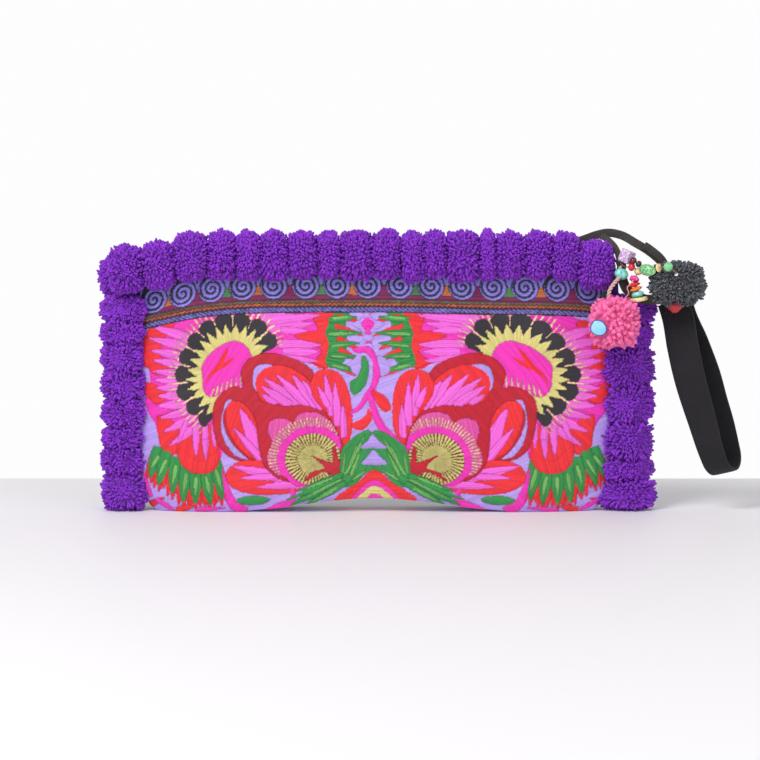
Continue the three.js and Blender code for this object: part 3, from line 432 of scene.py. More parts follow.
strokes("orchid", (266, 464, 240, 408, 17), (262, 460, 234, 428, 9))
patch("red", 10, (225, 478), (229, 468), (238, 462), (252, 460), (268, 463), (284, 474), (304, 480),
      (320, 484),
      (300, 491), (270, 495), (246, 493), (232, 487))
strokes("orchid", (292, 480, 232, 466, 12), (304, 484, 256, 487, 9), (284, 476, 240, 478, 8))
patch("red", 80, (311, 382), (317, 372), (328, 369), (340, 374), (348, 388), (352, 408), (352, 430),
      (347, 446),
      (341, 440), (334, 424), (322, 408), (313, 396))
strokes("orchid", (332, 414, 325, 374, 9), (338, 424, 335, 382, 9), (344, 436, 343, 404, 8),
        (328, 406, 318, 386, 7))
patch("deep_red", 50, (252, 402), (264, 402), (282, 406), (302, 405), (320, 411), (334, 424), (342, 442),
      (346, 458), (342, 474), (330, 482), (308, 482), (288, 482), (272, 474), (262, 460), (258, 440),
      (256, 420))
patch("pink", 80, (268, 432), (270, 422), (279, 418), (289, 420), (293, 424), (297, 416), (306, 412),
      (319, 413),
      (330, 421), (338, 434), (341, 448), (330, 460), (316, 470), (304, 481), (288, 478), (274, 472),
      (267, 461),
      (269, 450), (272, 442))

EYE = np.array([313, 459])
EYE_EDGE = 341  # counts from the left, past which the leaves cover the eye
SPOKE_ANGLE = 8.4
TICK_ANGLE = 4.6
place = near(260, 405, 350, 486)
turned = np.degrees(np.arctan2(v[place] - EYE[1], EYE[0] - u[place]))
reach = np.hypot((u[place] - EYE[0]) / 1.08, v[place] - EYE[1])
spoke = turned / SPOKE_ANGLE % 1
pink_here = np.isclose(dye[place], linear(*THREADS["pink"])).all(axis=1)
stitch(place, pink_here & (turned / TICK_ANGLE % 1 < 0.42) & (reach < 42), "tan", turned)
stitch(place, (reach < 33) & (reach > 22) & pink_here | (reach < 31) & (reach > 20) & (u[place] < 336),
       "hot_pink",
       turned)
stitch(place, (reach < 25.5) & (u[place] < EYE_EDGE), "khaki", turned, raised=0.5 * MM)
stitch(place, (reach < 26) & (reach > 13.5) & (spoke < 0.38) & (u[place] < EYE_EDGE), "brown", turned,
       raised=0.3 * MM)
patch("deep_red", 30, (311, 455), (322, 459), (333, 462), (332, 449), (335, 446), (338, 458), (342, 469),
      (338, 479), (326, 472), (316, 475), (304, 482), (312, 472), (324, 468), (318, 461))

# Middle: toothed leaves, a diamond, a stem, small leaves, and an arch of leaves over a mound.
patch("green", 10, (340, 308), (332, 318), (326, 332), (329, 346), (326, 362), (334, 368), (345, 360),
      (347, 340),
      (346, 322), (352, 308))
strokes("red", (338, 316, 362, 322, 7), (338, 338, 360, 350, 8), (340, 350, 362, 362, 8),
        (336, 326, 364, 336, 7),
        (336, 366, 364, 378, 6))
strokes("green", (330, 320, 358, 317, 9), (328, 333, 362, 333, 10), (330, 345, 360, 343, 9),
        (330, 355, 358, 357, 9), (328, 363, 362, 373, 9))
strokes("light_green", (333, 319, 352, 317, 4), (330, 334, 354, 333, 5), (332, 346, 352, 344, 4),
        (332, 356, 350, 357, 4), (332, 365, 352, 370, 4))
patch("hot_pink", 0, (354, 308), (362, 313), (374, 313), (384, 308))
patch("lilac", 0, (368, 308), (373, 318), (383, 324), (373, 332), (368, 341), (363, 332), (352, 324),
      (363, 318))
patch("hot_pink", 0, (368, 317), (374, 324), (368, 331), (361, 324))
patch("hot_pink", 80, (366, 328), (371, 328), (371, 348), (366, 348))
patch("lilac", 0, (368, 334), (373, 338), (368, 341), (363, 338))
patch("lilac", 20, (368, 343), (377, 348), (384, 352), (379, 356), (371, 350), (364, 347))
patch("lilac", 20, (351, 361), (362, 356), (364, 366), (360, 376), (352, 372))
patch("hot_pink", 70, (352, 350), (358, 347), (365, 346), (371, 348), (376, 355), (379, 366), (380, 376),
      (377, 386),
      (372, 394), (366, 403), (359, 411), (350, 414), (351, 411), (357, 407), (361, 401), (366, 392),
      (371, 385),
      (373, 376), (373, 366), (371, 358), (366, 353), (359, 353), once=True)
patch("hot_pink", 70, (369, 388), (375, 388), (375, 400), (379, 413), (386, 426), (397, 437), (408, 449),
      (406, 452),
      (394, 443), (381, 432), (373, 418), (369, 402), once=True)
patch("green", 70, (362, 356), (368, 361), (369, 372), (366, 384), (360, 392), (354, 395), (350, 389),
      (351, 381),
      (357, 377), (361, 369), once=True)
patch("red", 40, (371, 390), (381, 393), (388, 400), (391, 408), (386, 412), (379, 407), (375, 399),
      once=True)
patch("red", 20, (368, 408), (372, 414), (371, 422), (362, 430), (353, 428), (352, 423), (361, 419),
      (366, 414),
      once=True)
patch("green", 60, (341, 478), (340, 463), (342, 449), (350, 440), (358, 434), (367, 430), (374, 433),
      (382, 438),
      (382, 470), (366, 473), (356, 484), (346, 487))
patch("lilac", 0, (373, 434), (367, 441), (360, 448), (373, 448), (386, 448), (380, 441))
patch("lilac", 0, (373, 450), (367, 457), (361, 464), (373, 465), (386, 464), (380, 457))
strokes("light_green", (345, 476, 365, 434, 5), (350, 478, 361, 450, 5), (352, 480, 368, 469, 4),
        (343, 472, 345, 450, 4), (350, 464, 358, 442, 4))
patch("red", 0, (334, 501), (344, 491), (357, 483), (374, 470), (392, 484), (392, 520), (334, 520))
patch("hot_pink", 0, (350, 502), (358, 491), (374, 480), (392, 491), (392, 520), (346, 520))
patch("khaki", 0, (354, 503), (362, 493), (374, 486), (392, 493), (392, 520), (350, 520))
patch("hot_pink", 0, (359, 504), (366, 498), (374, 494), (392, 498), (392, 520), (356, 520))

# Leaf fan and fronds over the lilac hem, with stems and small leaves that the fold cuts off.
LEAF_FAN = [(158, 452, 150, 478), (166, 456, 158, 486), (176, 462, 172, 494), (186, 470, 183, 503),
            (196, 474, 195, 505), (206, 473, 210, 505), (216, 466, 222, 500)]
for x0, y0, x1, y1 in LEAF_FAN:
    strokes("red", (x0, y0, x1, y1 + 6, 14), (x0 + 3, y0, x1 + 5, y1 + 3, 12),
            (x0 - 3, y0, x1 - 5, y1 + 3, 12))
for x0, y0, x1, y1 in LEAF_FAN:
    strokes("green", (x0, y0 - 4, x1, y1, 17))
for x0, y0, x1, y1 in LEAF_FAN:
    strokes("light_green", (x0, y0 + 4, x1, y1 - 9, 6))
patch("red", 80, (181, 448), (180, 462), (189, 471), (200, 474), (213, 471), (219, 462), (218, 450),
      (200, 462))
strokes("orchid", (196, 440, 196, 456, 6), (205, 440, 206, 460, 6))
patch("hot_pink", 60, (222, 468), (229, 486), (236, 500), (248, 508), (240, 514), (228, 506), (224, 490))
patch("hot_pink", 10, (262, 512), (276, 504), (290, 498), (290, 488), (296, 494), (294, 506), (278, 514))
patch("green", 5, (236, 500), (250, 496), (266, 497), (270, 500), (262, 504), (244, 505))
strokes("red", (146, 506, 164, 498, 9), (176, 510, 194, 506, 9))
strokes("hot_pink", (150, 496, 142, 470, 6), (156, 500, 176, 512, 7), (196, 510, 226, 508, 6))
strokes("green", (349, 478, 290, 505, 14), (344, 484, 304, 506, 10), (340, 476, 296, 492, 10),
        (334, 482, 286, 500, 8))
strokes("light_green", (340, 480, 300, 500, 4), (332, 478, 304, 489, 4), (336, 488, 312, 502, 4))
patch("red", 0, (334, 500), (343, 492), (356, 487), (346, 498), (338, 503))

# Woven band: from its lower edge up, a rope stitch, zigzags on maroon, a wine stripe, and spirals on a
# dark ground with small triangles under their joins.
SPIRALS = np.array([122, 154, 183, 212, 243, 274, 306, 337, 368, 400, 431, 462, 493, 525, 557, 588, 618])
TRIANGLES = ["moss", "orange", "wine"]
SPIRAL_HEIGHT = 27.5
SPIRAL_REACH = 13
SPIRAL_PITCH = 5.3
place = np.nonzero(~BELOW_BAND)
x, up = ragged_x[place], band_up[place]


def weave(inside, thread, lie=0):
    stitch(place, inside, thread, lie, raised=0)


weave(up >= 0, "band")
weave((up > 1.2) & (up < 5.2) & ((x + 1.6 * up) / 4.6 % 1 < 0.62), "spiral", 35)
weave((up > 6.6) & (up < 13.5), "maroon")
wave = 1.7 * np.abs(2 * (x / 4.4 % 1) - 1)
weave(np.abs(up - 7.6 - wave) < 0.75, "orange", 45)
weave(np.abs(up - 10.6 - wave) < 0.75, "moss", 45)
weave((up > 14.3) & (up < 17.4), "wine")
weave((up > 11.8) & (up < 12.6), "wine")
nearest = np.abs(x[:, None] - SPIRALS).argmin(axis=1)
aside = x - SPIRALS[nearest]
middles = (SPIRALS[1:] + SPIRALS[:-1]) / 2
between = np.abs(x[:, None] - middles).argmin(axis=1)
from_join = np.abs(x - middles[between])
for colour, thread in enumerate(TRIANGLES):
    weave((between % 3 == colour) & (up > 18.2) & (from_join < (29 - up) * 0.75), thread)
reach = np.hypot(aside, up - SPIRAL_HEIGHT)
turn = np.arctan2(up - SPIRAL_HEIGHT, aside) / (2 * np.pi)
weave((up > 28) & (np.abs(from_join - 0.34 * (up - 29)) < 1.5), "spiral", 60)
weave(reach < SPIRAL_REACH + 0.9, "band")
weave((reach < SPIRAL_REACH) & ((reach / SPIRAL_PITCH + turn + 0.15) % 1 < 0.55), "spiral")
relief[place] = np.where(np.isclose(dye[place], linear(*THREADS["spiral"])).all(axis=1), 0.25 * MM, 0)
relief[body_rows:] = 0

front_points = front_points + front_out * relief[..., None]
front_points[..., 2] = np.maximum(front_points[..., 2], 0)


def new_piece(name, points, *faces):
    """A smooth mesh object from points and blocks of faces, each block with one number of corners."""
    mesh = bpy.data.meshes.new(name)
    corners = np.concatenate([block.ravel() for block in faces])
    counts = np.concatenate([np.full(len(block), block.shape[1]) for block in faces])
    mesh.vertices.add(len(points))
    mesh.vertices.foreach_set("co", np.asarray(points, np.float32).ravel())
    mesh.loops.add(len(corners))
    mesh.loops.foreach_set("vertex_index", corners.astype(np.int32))
    mesh.polygons.add(len(counts))
    mesh.polygons.foreach_set("loop_start", (np.cumsum(counts) - counts).astype(np.int32))
    mesh.update(calc_edges=True)
    mesh.polygons.foreach_set("use_smooth", np.ones(len(counts), bool))
    piece = bpy.data.objects.new(name, mesh)
    bpy.context.collection.objects.link(piece)
    return piece


def dressed(name, made, slot, points, *faces, stands_for=()):
    """A finished piece with its material, in place of nodes of the part. The slot is not used."""
    piece = new_piece(name, points, *faces)
    piece.data.materials.append(made)
    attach(piece, "root")
    if stands_for:
        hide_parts(*stands_for)
    return piece


def grid_faces(rows, columns, round_it=False):
    """Squares between neighbouring rows and columns of a grid of points, closed round where asked."""
    number = np.arange(rows * columns).reshape(rows, columns)
    if round_it:
        number = np.concatenate([number, number[:, :1]], axis=1)
    here, beside = number[:-1, :-1], number[:-1, 1:]
    return np.stack([here, beside, number[1:, 1:], number[1:, :-1]], -1).reshape(-1, 4)


def carry(piece, name, values):
    """Gives each point of a piece a number, or a colour, that its material reads."""
    kind, field = ("FLOAT", "value") if np.ndim(values) == 1 else ("FLOAT_COLOR", "color")
    if kind == "FLOAT_COLOR":
        values = np.concatenate([values, np.ones((len(values), 1))], axis=1)
    store = piece.data.attributes.new(name, kind, "POINT")
    store.data.foreach_set(field, np.asarray(values, np.float32).ravel())


def material(name, color=None, **sockets):
    """A material whose shader has these values on its own sockets. Underscores stand for spaces."""
    made = bpy.data.materials.new(name)
    made.use_nodes = True
    shader = made.node_tree.nodes["Principled BSDF"]
    if color is not None:
        shader.inputs["Base Color"].default_value = (*linear(*color), 1)
    for socket, value in sockets.items():
        shader.inputs[socket.replace("_", " ")].default_value = value
    return made


def add_node(made, kind, inputs=None, **settings):
    """A shader node. Each input is a value, or another node's output that is linked to it."""
    node = made.node_tree.nodes.new("ShaderNode" + kind)
    for name, value in settings.items():
        setattr(node, name, value)
    for socket, value in (inputs or {}).items():
        if isinstance(value, bpy.types.NodeSocket):
            made.node_tree.links.new(value, node.inputs[socket])
        else:
            node.inputs[socket].default_value = value
    return node.outputs


def math_node(made, operation, a, b=0):
    """One step of arithmetic on one or two sockets or numbers."""
    return add_node(made, "Math", {0: a, 1: b}, operation=operation)[0]


def place_on(made):
    """The place on the object, in metres."""
    return add_node(made, "TexCoord")["Object"]


def noise(made, scale, detail, **more):
    """Smooth noise over the place on the object."""
    return add_node(made, "TexNoise",
                    {"Vector": place_on(made), "Scale": scale, "Detail": detail, **more})["Fac"]


def mixed(made, share, low, high):
    """A blend of two colours, given as sockets or as 0 to 255."""
    ends = [v if isinstance(v, bpy.types.NodeSocket) else (*linear(*v), 1) for v in (low, high)]
    inputs = {0: share, 6: ends[0], 7: ends[1]}
    return add_node(made, "Mix", inputs, data_type="RGBA", blend_type="MIX")[2]


def finish_with(made, base, height, depth):
    """Links a base colour and a bump of this depth in metres to the shader."""
    shader = made.node_tree.nodes["Principled BSDF"]
    bump = add_node(made, "Bump", {"Height": height, "Distance": depth, "Strength": 1.0})[0]
    made.node_tree.links.new(base, shader.inputs["Base Color"])
    made.node_tree.links.new(bump, shader.inputs["Normal"])
    return made


THREAD_WIDTH = 0.62 * MM
satin = material("satin_stitch", Roughness=0.55, Sheen_Weight=0.06, Sheen_Roughness=0.4)
thread_number = math_node(
    satin, "DIVIDE", add_node(satin, "Attribute", attribute_name="across")["Fac"], THREAD_WIDTH
)
# Painted shade: a sine across the threads darkens the colour in the gaps between them, and the same sine
# raises each thread in the bump.
thread_ridge_and_gap_shade = math_node(satin, "SINE", math_node(satin, "MULTIPLY", thread_number, 2 * math.pi))
which = math_node(satin, "FLOOR", thread_number)
each = add_node(satin, "TexWhiteNoise", {"W": which}, noise_dimensions="1D")["Value"]
fuzz = noise(satin, 900.0, 2.0)
# shade scales the dye: the sine's painted shade between threads, a random tone for each thread, and fuzz.
shade = math_node(satin, "ADD", math_node(satin, "MULTIPLY", thread_ridge_and_gap_shade, 0.12), 0.69)
shade = math_node(satin, "ADD", shade, math_node(satin, "MULTIPLY", each, 0.28))
shade = math_node(satin, "ADD", shade, math_node(satin, "MULTIPLY", fuzz, 0.2))
dyed = add_node(satin, "Attribute", attribute_name="dye")["Color"]
shaded = add_node(satin, "VectorMath", {0: dyed, "Scale": shade}, operation="SCALE")[0]
rough_height = math_node(satin, "ADD", thread_ridge_and_gap_shade, math_node(satin, "MULTIPLY", fuzz, 1.2))
finish_with(satin, shaded, rough_height, 0.09 * MM)

middle_column = front_points.shape[1] // 2
for half, columns in (("left", slice(0, middle_column + 1)), ("right", slice(middle_column, None))):
    part = front_points[:, columns]
    piece = dressed(f"front_cloth_{half}", satin, "embroidered_cloth", part.reshape(-1, 3),
                    grid_faces(*part.shape[:2]), stands_for=["front_panel"])
    carry(piece, "dye", dye[:, columns].reshape(-1, 3))
    carry(piece, "across", across[:, columns].ravel())

# Back: plain black cotton, a little creased, sewn to the front along the sides and under the base.

BACK_DENTS = [
    (0.02, 0.06, 0.2, 0.25, 0.24),
    (-0.42, 0.5, 0.16, 0.3, 0.12),
    (0.46, 0.42, 0.14, 0.34, 0.12),
]
BACK_CELL = 1.5 * MM


def creases(points, out, scale):
    """Low folds: sines that run up and slantwise, faded out where the cloth is sewn."""
    x, z = points[..., 0] - POUCH_MIDDLE[0], points[..., 2]
    fade = smoothstep(HALF_LENGTH - np.abs(x), 0, 30 * MM) * smoothstep(POUCH_HEIGHT - z, 4 * MM, 40 * MM)
    folds = np.sin(x / (17 * MM) + np.sin(z / (30 * MM))) * np.sin(z / (42 * MM) + x / (60 * MM))
    folds = folds + 0.5 * np.sin(x / (9 * MM) - z / (14 * MM) + 2 * np.sin(x / (40 * MM)))
    return points + out * (scale * fade * smoothstep(z, 6 * MM, 20 * MM) * folds)[..., None]


back_points, back_out, _, back_rows = cloth_panel(1, BACK_DENTS, BACK_CELL)
back_points = creases(back_points, back_out, 0.5 * MM)
black_cloth = material("black_cotton", Roughness=0.85, Sheen_Weight=0.2, Sheen_Roughness=0.5)


def woven(made, dark, light, thread, bump):
    """Plain weave: two square waves at right angles over the object's place, with worn streaks."""
    at = add_node(made, "SeparateXYZ", {0: place_on(made)})
    over = math_node(made, "SINE", math_node(made, "MULTIPLY", at["X"], math.pi / thread))
    under = math_node(made, "SINE", math_node(made, "MULTIPLY", at["Z"], math.pi / thread))
    weave_height = math_node(made, "MULTIPLY", over, under)
    worn = noise(made, 60.0, 5.0)
    grain = noise(made, 1400.0, 2.0)
    worn_share, grain_share = math_node(made, "MULTIPLY", worn, 0.6), math_node(made, "MULTIPLY", grain, 0.5)
    share = math_node(made, "ADD", worn_share, grain_share)
    height = math_node(made, "ADD", weave_height, grain)
    return finish_with(made, mixed(made, share, dark, light), height, bump)


woven(black_cloth, (12, 11, 14), (48, 46, 53), 0.5 * MM, 0.08 * MM)
back_cloth = dressed("back_cloth", black_cloth, "plain_cloth", back_points.reshape(-1, 3),
                     grid_faces(*back_points.shape[:2])[:, ::-1], stands_for=["back_panel"])

# Zip: woven tapes under the mouth's edges and a closed row of moulded teeth, with a metal slider at the
# right end. The narrow purple tape that carries the pompoms is caught in the same seams.

ZIP_HALF = 127 * MM
ZIP_DROP = 3 * MM
TOOTH_STEP = 2.1 * MM


def repeated(shape, faces, places):
    """One small shape moved to many places: the points of all the copies, and their faces."""
    points = (shape[None] + places[:, None]).reshape(-1, 3)
    steps = (np.arange(len(places)) * len(shape))[:, None, None]
    return points, (faces[None] + steps).reshape(-1, faces.shape[1])


def cover(name, made):
    """Gives a shown node of the part this material."""
    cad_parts[name].data.materials.clear()
    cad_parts[name].data.materials.append(made)


tape_weave = woven(material("tape", Roughness=0.8), (16, 16, 19), (52, 50, 56), 0.35 * MM, 0.06 * MM)
for name in ("zip_tape_front", "zip_tape_back"):
    cover(name, tape_weave)

UNIT_BOX = np.array([(x, y, z) for x in (-1, 1) for y in (-1, 1) for z in (-1, 1)])
BOX_FACES = np.array([(0, 1, 3, 2), (4, 6, 7, 5), (0, 4, 5, 1), (2, 3, 7, 6), (0, 2, 6, 4), (1, 5, 7, 3)])
STITCH_ROW = 4  # rows of the back's grid below its top edge
stitch_places = (back_points + 0.15 * MM * back_out)[back_rows - STITCH_ROW, 4:-4:2]
stitch_box = UNIT_BOX * np.array([1, 0.25, 0.25]) * MM
dressed("back_stitches", material("stitch_thread", (92, 89, 98), Roughness=0.5), "thread",
        *repeated(stitch_box, BOX_FACES, stitch_places))

tooth_x = np.arange(-ZIP_HALF + TOOTH_STEP, ZIP_HALF, TOOTH_STEP / 2)
tooth_share = tooth_x / HALF_LENGTH
tooth_side = np.where(np.arange(len(tooth_x)) % 2 == 0, -0.5, 0.5) * MM
tooth_z = mouth_height(tooth_share) - ZIP_DROP
tooth_places = np.stack([tooth_x, tooth_side, tooth_z], -1) + POUCH_MIDDLE
tooth_box = UNIT_BOX * np.array([0.465, 1.25, 1.1]) * MM
tooth_points, tooth_faces = repeated(tooth_box, BOX_FACES, tooth_places)
teeth = dressed("zip_chain", material("moulded_teeth", (30, 29, 33), Roughness=0.35), "zip_teeth",
                tooth_points, tooth_faces, stands_for=["zip_teeth"])
teeth.data.polygons.foreach_set("use_smooth", np.zeros(len(tooth_faces), bool))

slider_metal = material("slider_metal", Metallic=1.0, Roughness=0.35)
scuffs = noise(slider_metal, 500.0, 6.0)
finish_with(slider_metal, mixed(slider_metal, scuffs, (92, 86, 78), (170, 164, 152)), scuffs, 0.02 * MM)
cover("zip_slider", slider_metal)

purple_tape = woven(material("purple_tape", Roughness=0.7), (58, 20, 118), (104, 44, 176), 0.4 * MM,
                    0.08 * MM)
cover("trim_tape", purple_tape)

# Pompoms: balls of soft acrylic yarn, tied round the middle, cut and trimmed, and sewn to the tape so
# close that they press each other flat.

GOLDEN = math.pi * (3 - math.sqrt(5))
ABOVE_TABLE = 0.25 * MM


def even_directions(count, stretch):
    """Directions spread evenly on a ball by the golden angle, then stretched as the pompom is."""
    k = np.arange(count) + 0.5
    level = 1 - 2 * k / count
    out = np.sqrt(1 - level**2)
    ball = np.stack([out * np.cos(GOLDEN * k), out * np.sin(GOLDEN * k), level], -1)
    return unit(ball * stretch)


def node_triangles(name):
    """The corners of each triangle of a node of the part."""
    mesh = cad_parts[name].data
    mesh.calc_loop_triangles()
    points = np.empty(len(mesh.vertices) * 3)
    mesh.vertices.foreach_get("co", points)
    corners = np.empty(len(mesh.loop_triangles) * 3, np.int32)
    mesh.loop_triangles.foreach_get("vertices", corners)
    return points.reshape(-1, 3)[corners].reshape(-1, 3, 3)


def reach_of(triangles, middle, directions):
    """How far from the middle each direction leaves a solid, by where it meets each triangle."""
    a = triangles[:, 0] - middle
    side, other = triangles[:, 1] - triangles[:, 0], triangles[:, 2] - triangles[:, 0]
    across_other = np.cross(directions[:, None], other[None])
    scale = (across_other * side).sum(-1)
    scale = np.where(np.abs(scale) < 1e-14, 1e-14, scale)
    first = -(across_other * a).sum(-1) / scale
    across_side = np.cross(-a, side)
    second = (directions[:, None] * across_side).sum(-1) / scale
    far = (other * across_side).sum(-1) / scale
    meets = (first >= -1e-6) & (second >= -1e-6) & (first + second <= 1 + 1e-6) & (far > 0)
    return np.where(meets, far, 0).max(axis=1)


def yarn_ends(roots, tips, width, sides=4):
    """Short cut ends of yarn from roots to tips: a ring at the root, a wider one near the tip, a cap."""
    way = unit(tips - roots)
    aside = unit(np.cross(way, np.array([0.3, 0.5, 0.81])))
    up = np.cross(way, aside)
    angle = 2 * np.pi * np.arange(sides) / sides
    circle = aside[:, None] * np.cos(angle)[:, None] + up[:, None] * np.sin(angle)[:, None]
    half = width[:, None, None] / 2
    root_ring = roots[:, None] + circle * half * 0.7
    tip_ring = (tips - way * width[:, None] * 0.5)[:, None] + circle * half
    points = np.concatenate([root_ring, tip_ring, tips[:, None]], axis=1)
    ring = np.arange(sides)
    beside = (ring + 1) % sides
    squares = np.stack([ring, beside, beside + sides, ring + sides], -1)
    caps = np.stack([ring + sides, beside + sides, np.full(sides, 2 * sides)], -1)
    steps = (np.arange(len(roots)) * (2 * sides + 1))[:, None, None]
    return points, (squares[None] + steps).reshape(-1, 4), (caps[None] + steps).reshape(-1, 3)


def clumps(directions, seed):
    """Locks of yarn that lean together: slow sines over the directions, from -1 to 1."""
    x, y, z = (9 * directions).T
    waves = np.sin(x + 1.3 * seed + 2 * np.sin(y)) + np.sin(1.4 * y - z + 0.7 * seed)
    return (waves + np.sin(1.7 * z + x)) / 3


def rounded_reach(directions, half):
    """Reach of a rounded block: the power sum of the parts over its half sizes, to the power 3, is 1."""
    return (np.abs(directions / half) ** 3).sum(axis=1) ** (-1 / 3)


def pompom(node, yarn, slot, count, width, seed, swell=(1, 1, 1), lean=(0, 0, 0), ragged=0.2, lumpy=0.06,
            under=None):
    """Yarn ends that stand out all over the form of a node, round a ball of packed yarn painted dark as
    shade.

    swell is how far the soft ends press past the node's form along each axis, and lean moves their middle.
    Where the node is cut away for the cloth, the ends stay short, and so do those under another node.
    """
    triangles = node_triangles(node)
    low, high = triangles.min(axis=(0, 1)), triangles.max(axis=(0, 1))
    middle = (low + high) / 2 + np.array(lean) * MM
    k = np.arange(count)
    stray = np.stack([scatter(k, seed), scatter(k, seed + 0.3), scatter(k, seed + 0.6)], -1) - 0.5
    directions = unit(even_directions(count, high - low) + 0.16 * stray)

    def reach(directions):
        solid = reach_of(triangles, middle, directions)
        full = rounded_reach(directions, (high - low) / 2 * np.array(swell))
        kept = smoothstep(solid / full, 0.5, 0.72)
        return (solid + (full - solid) * kept)[:, None]

    rise, drop = 0.06 * scatter(seed, 11) - 0.01, 0.16 * scatter(seed, 12) - 0.06
    uneven = 1 + lumpy * clumps(directions, seed) + rise * np.maximum(0, directions[:, 2])
    uneven += drop * np.maximum(0, -directions[:, 2]) * (directions[:, 1] < 0.3)
    far = reach(directions) * uneven[:, None]
    long = (1.02 - ragged * scatter(k, seed + 0.9) ** 2)[:, None]
    if under:
        pressed = unit(np.mean(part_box(under), axis=0) - middle)
        long *= np.where(directions @ pressed > 0.88, 0.76, 1)[:, None]
    tips = middle + directions * far * long
    bend = 1.6 * MM * (np.stack([scatter(k, seed + 2), scatter(k, seed + 3), scatter(k, seed + 4)], -1) - 0.5)
    roots = middle + directions * far * 0.6 + bend
    wide = width * (0.7 + 0.6 * scatter(k, seed + 5))
    points, squares, caps = yarn_ends(roots, tips, wide)
    sides = points.shape[1] // 2
    # Each end gets painted shade at its root and painted light at its tip, on top of a random tone of its
    # own.
    tone = (0.45 * scatter(k, seed + 6) - 0.1)[:, None]
    painted_depth_shading = np.repeat([0, 0.5, 0.7], [sides, sides, 1])[None]
    core_rows, core_columns = 9, 14
    level = np.linspace(-1, 1, core_rows) * np.pi / 2
    turn = np.arange(core_columns) * 2 * np.pi / core_columns
    core_way = np.stack(
        [np.cos(level)[:, None] * np.cos(turn), np.cos(level)[:, None] * np.sin(turn),
         np.repeat(np.sin(level)[:, None], core_columns, 1)], -1).reshape(-1, 3)
    core_way = unit(core_way * (high - low))
    core = middle + core_way * reach(core_way) * 0.8
    core_faces = grid_faces(core_rows, core_columns, round_it=True) + points.shape[0] * points.shape[1]
    everything = np.concatenate([points.reshape(-1, 3), core])
    everything[:, 2] = np.maximum(everything[:, 2], ABOVE_TABLE)
    piece = dressed(node + "_yarn", yarn, slot, everything, squares, caps, core_faces, stands_for=[node])
    # The core's low tone is painted shade deep inside the ball.
    carry(piece, "tone", np.concatenate([(painted_depth_shading + tone).ravel(), np.full(len(core), 0.15)]))


def yarn_material(name, root, tip, speck, specks=2):
    """Soft yarn: painted shade darkens it towards the root and painted light brightens the cut tip, with
    small specks of light fibre.
    """
    made = material(name, Roughness=0.8, Sheen_Weight=0.08, Sheen_Roughness=0.45)
    # tone blends the root's painted shade colour into the tip's painted light colour.
    tone = add_node(made, "Attribute", attribute_name="tone")["Fac"]
    fibre = noise(made, 1500.0, 3.0)
    light = math_node(made, "MULTIPLY", math_node(made, "POWER", fibre, 5), specks)
    base = mixed(made, tone, root, tip)
    return finish_with(made, mixed(made, light, base, speck), fibre, 0.2 * MM)


purple_yarn = yarn_material("purple_yarn", (58, 6, 118), (144, 28, 212), (206, 108, 248))
SWELL = {"top": (1.22, 1.02, 1.04), "left": (1.06, 1.24, 1.24), "right": (1.28, 1.2, 1.22),
         "corner": (1, 1, 1.05)}
LEAN = {"top": (0, 0, 0), "left": (1, -3, 0), "right": (0.6, -3, 0), "corner": (0, 0, 0)}
purple_nodes = sorted(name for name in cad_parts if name.startswith("pompom_") and name != "pompom_cord")
for seed, name in enumerate(purple_nodes):
    row = name.split("_")[1]
    pompom(name, purple_yarn, "purple_yarn", 960, 1.8 * MM, seed, SWELL[row], LEAN[row], lumpy=0.1)
pink_yarn = yarn_material("pink_yarn", (204, 34, 108), (255, 116, 182), (255, 190, 222))
pompom("pink_pompom", pink_yarn, "pink_yarn", 560, 3.3 * MM, 70, swell=(1.04, 1, 1.08), lumpy=0.1,
       under="sky_blue_bead")
charcoal_yarn = yarn_material("charcoal_yarn", (14, 14, 18), (44, 46, 54), (214, 218, 226), specks=2.6)
pompom("charcoal_pompom", charcoal_yarn, "charcoal_yarn", 1500, 1.6 * MM, 80, ragged=0.26, lumpy=0.1)

# Wrist strap: one band of folded black cotton, stitched along both edges, bent round to a loop and sewn
# shut over the end of the thong.

STRAP_WIDTH = 22 * MM
STRAP_THICKNESS = 2 * MM
STRAP_LENGTH = 113 * MM
STRAP_RADIUS = 12 * MM
STRAP_HOLD = 9 * MM
STRAP_LEAN = math.radians(17)
STRAP_TURN = math.radians(27)
STRAP_DROP = 16 * MM
THONG_WIDTH = 5.4 * MM
THONG_THICKNESS = 1.6 * MM
CLEARANCE = 0.3 * MM

# The routes are from the pouch's upper right corner, in millimetres, after the pass through the bail.
THONG_ROUTE = [(-39, 1.5, 3.7), (-33.5, 1, 3.7), (-28, 0.9, 3.8), (-22, 0.8, 4.8), (-16, 0.4, 6.8),
               (-10, -0.2, 9),
               (-2.6, -1.6, 10.6), (5.5, -4, 9.4), (15, -7, 4.4), (23.5, -9, -0.8), (31, -9.6, -7.6),
               (35, -9, -17)]


def from_corner(*points):
    """Points given in millimetres from the pouch's upper right corner, in the part's frame."""
    return np.array(points, float) * MM + POUCH_MIDDLE + np.array([HALF_LENGTH, 0, POUCH_HEIGHT])


def curve_through(points, count):
    """A smooth curve through points, evenly numbered by the distance run."""
    points = np.asarray(points, float)
    run = np.concatenate([[0], np.cumsum(np.linalg.norm(np.diff(points, axis=0), axis=1))])
    at = np.linspace(0, run[-1], count)
    return np.stack([through(at, run, points[:, k]) for k in range(3)], -1)


def section(width, thickness, count=20, square=0.35, groove=0.0):
    """A flat band's rounded section: a circle whose cosine and sine are raised to a small power.

    groove is how deep a line of stitches pulls the cloth in, near both edges.
    """
    angle = 2 * np.pi * np.arange(count) / count
    x = np.sign(np.cos(angle)) * np.abs(np.cos(angle)) ** square
    y = np.sign(np.sin(angle)) * np.abs(np.sin(angle)) ** square
    line = np.exp(-(((np.abs(x) - 0.84) / 0.05) ** 2))
    return np.stack([x * width / 2, y * (thickness / 2 - groove * line)], -1)


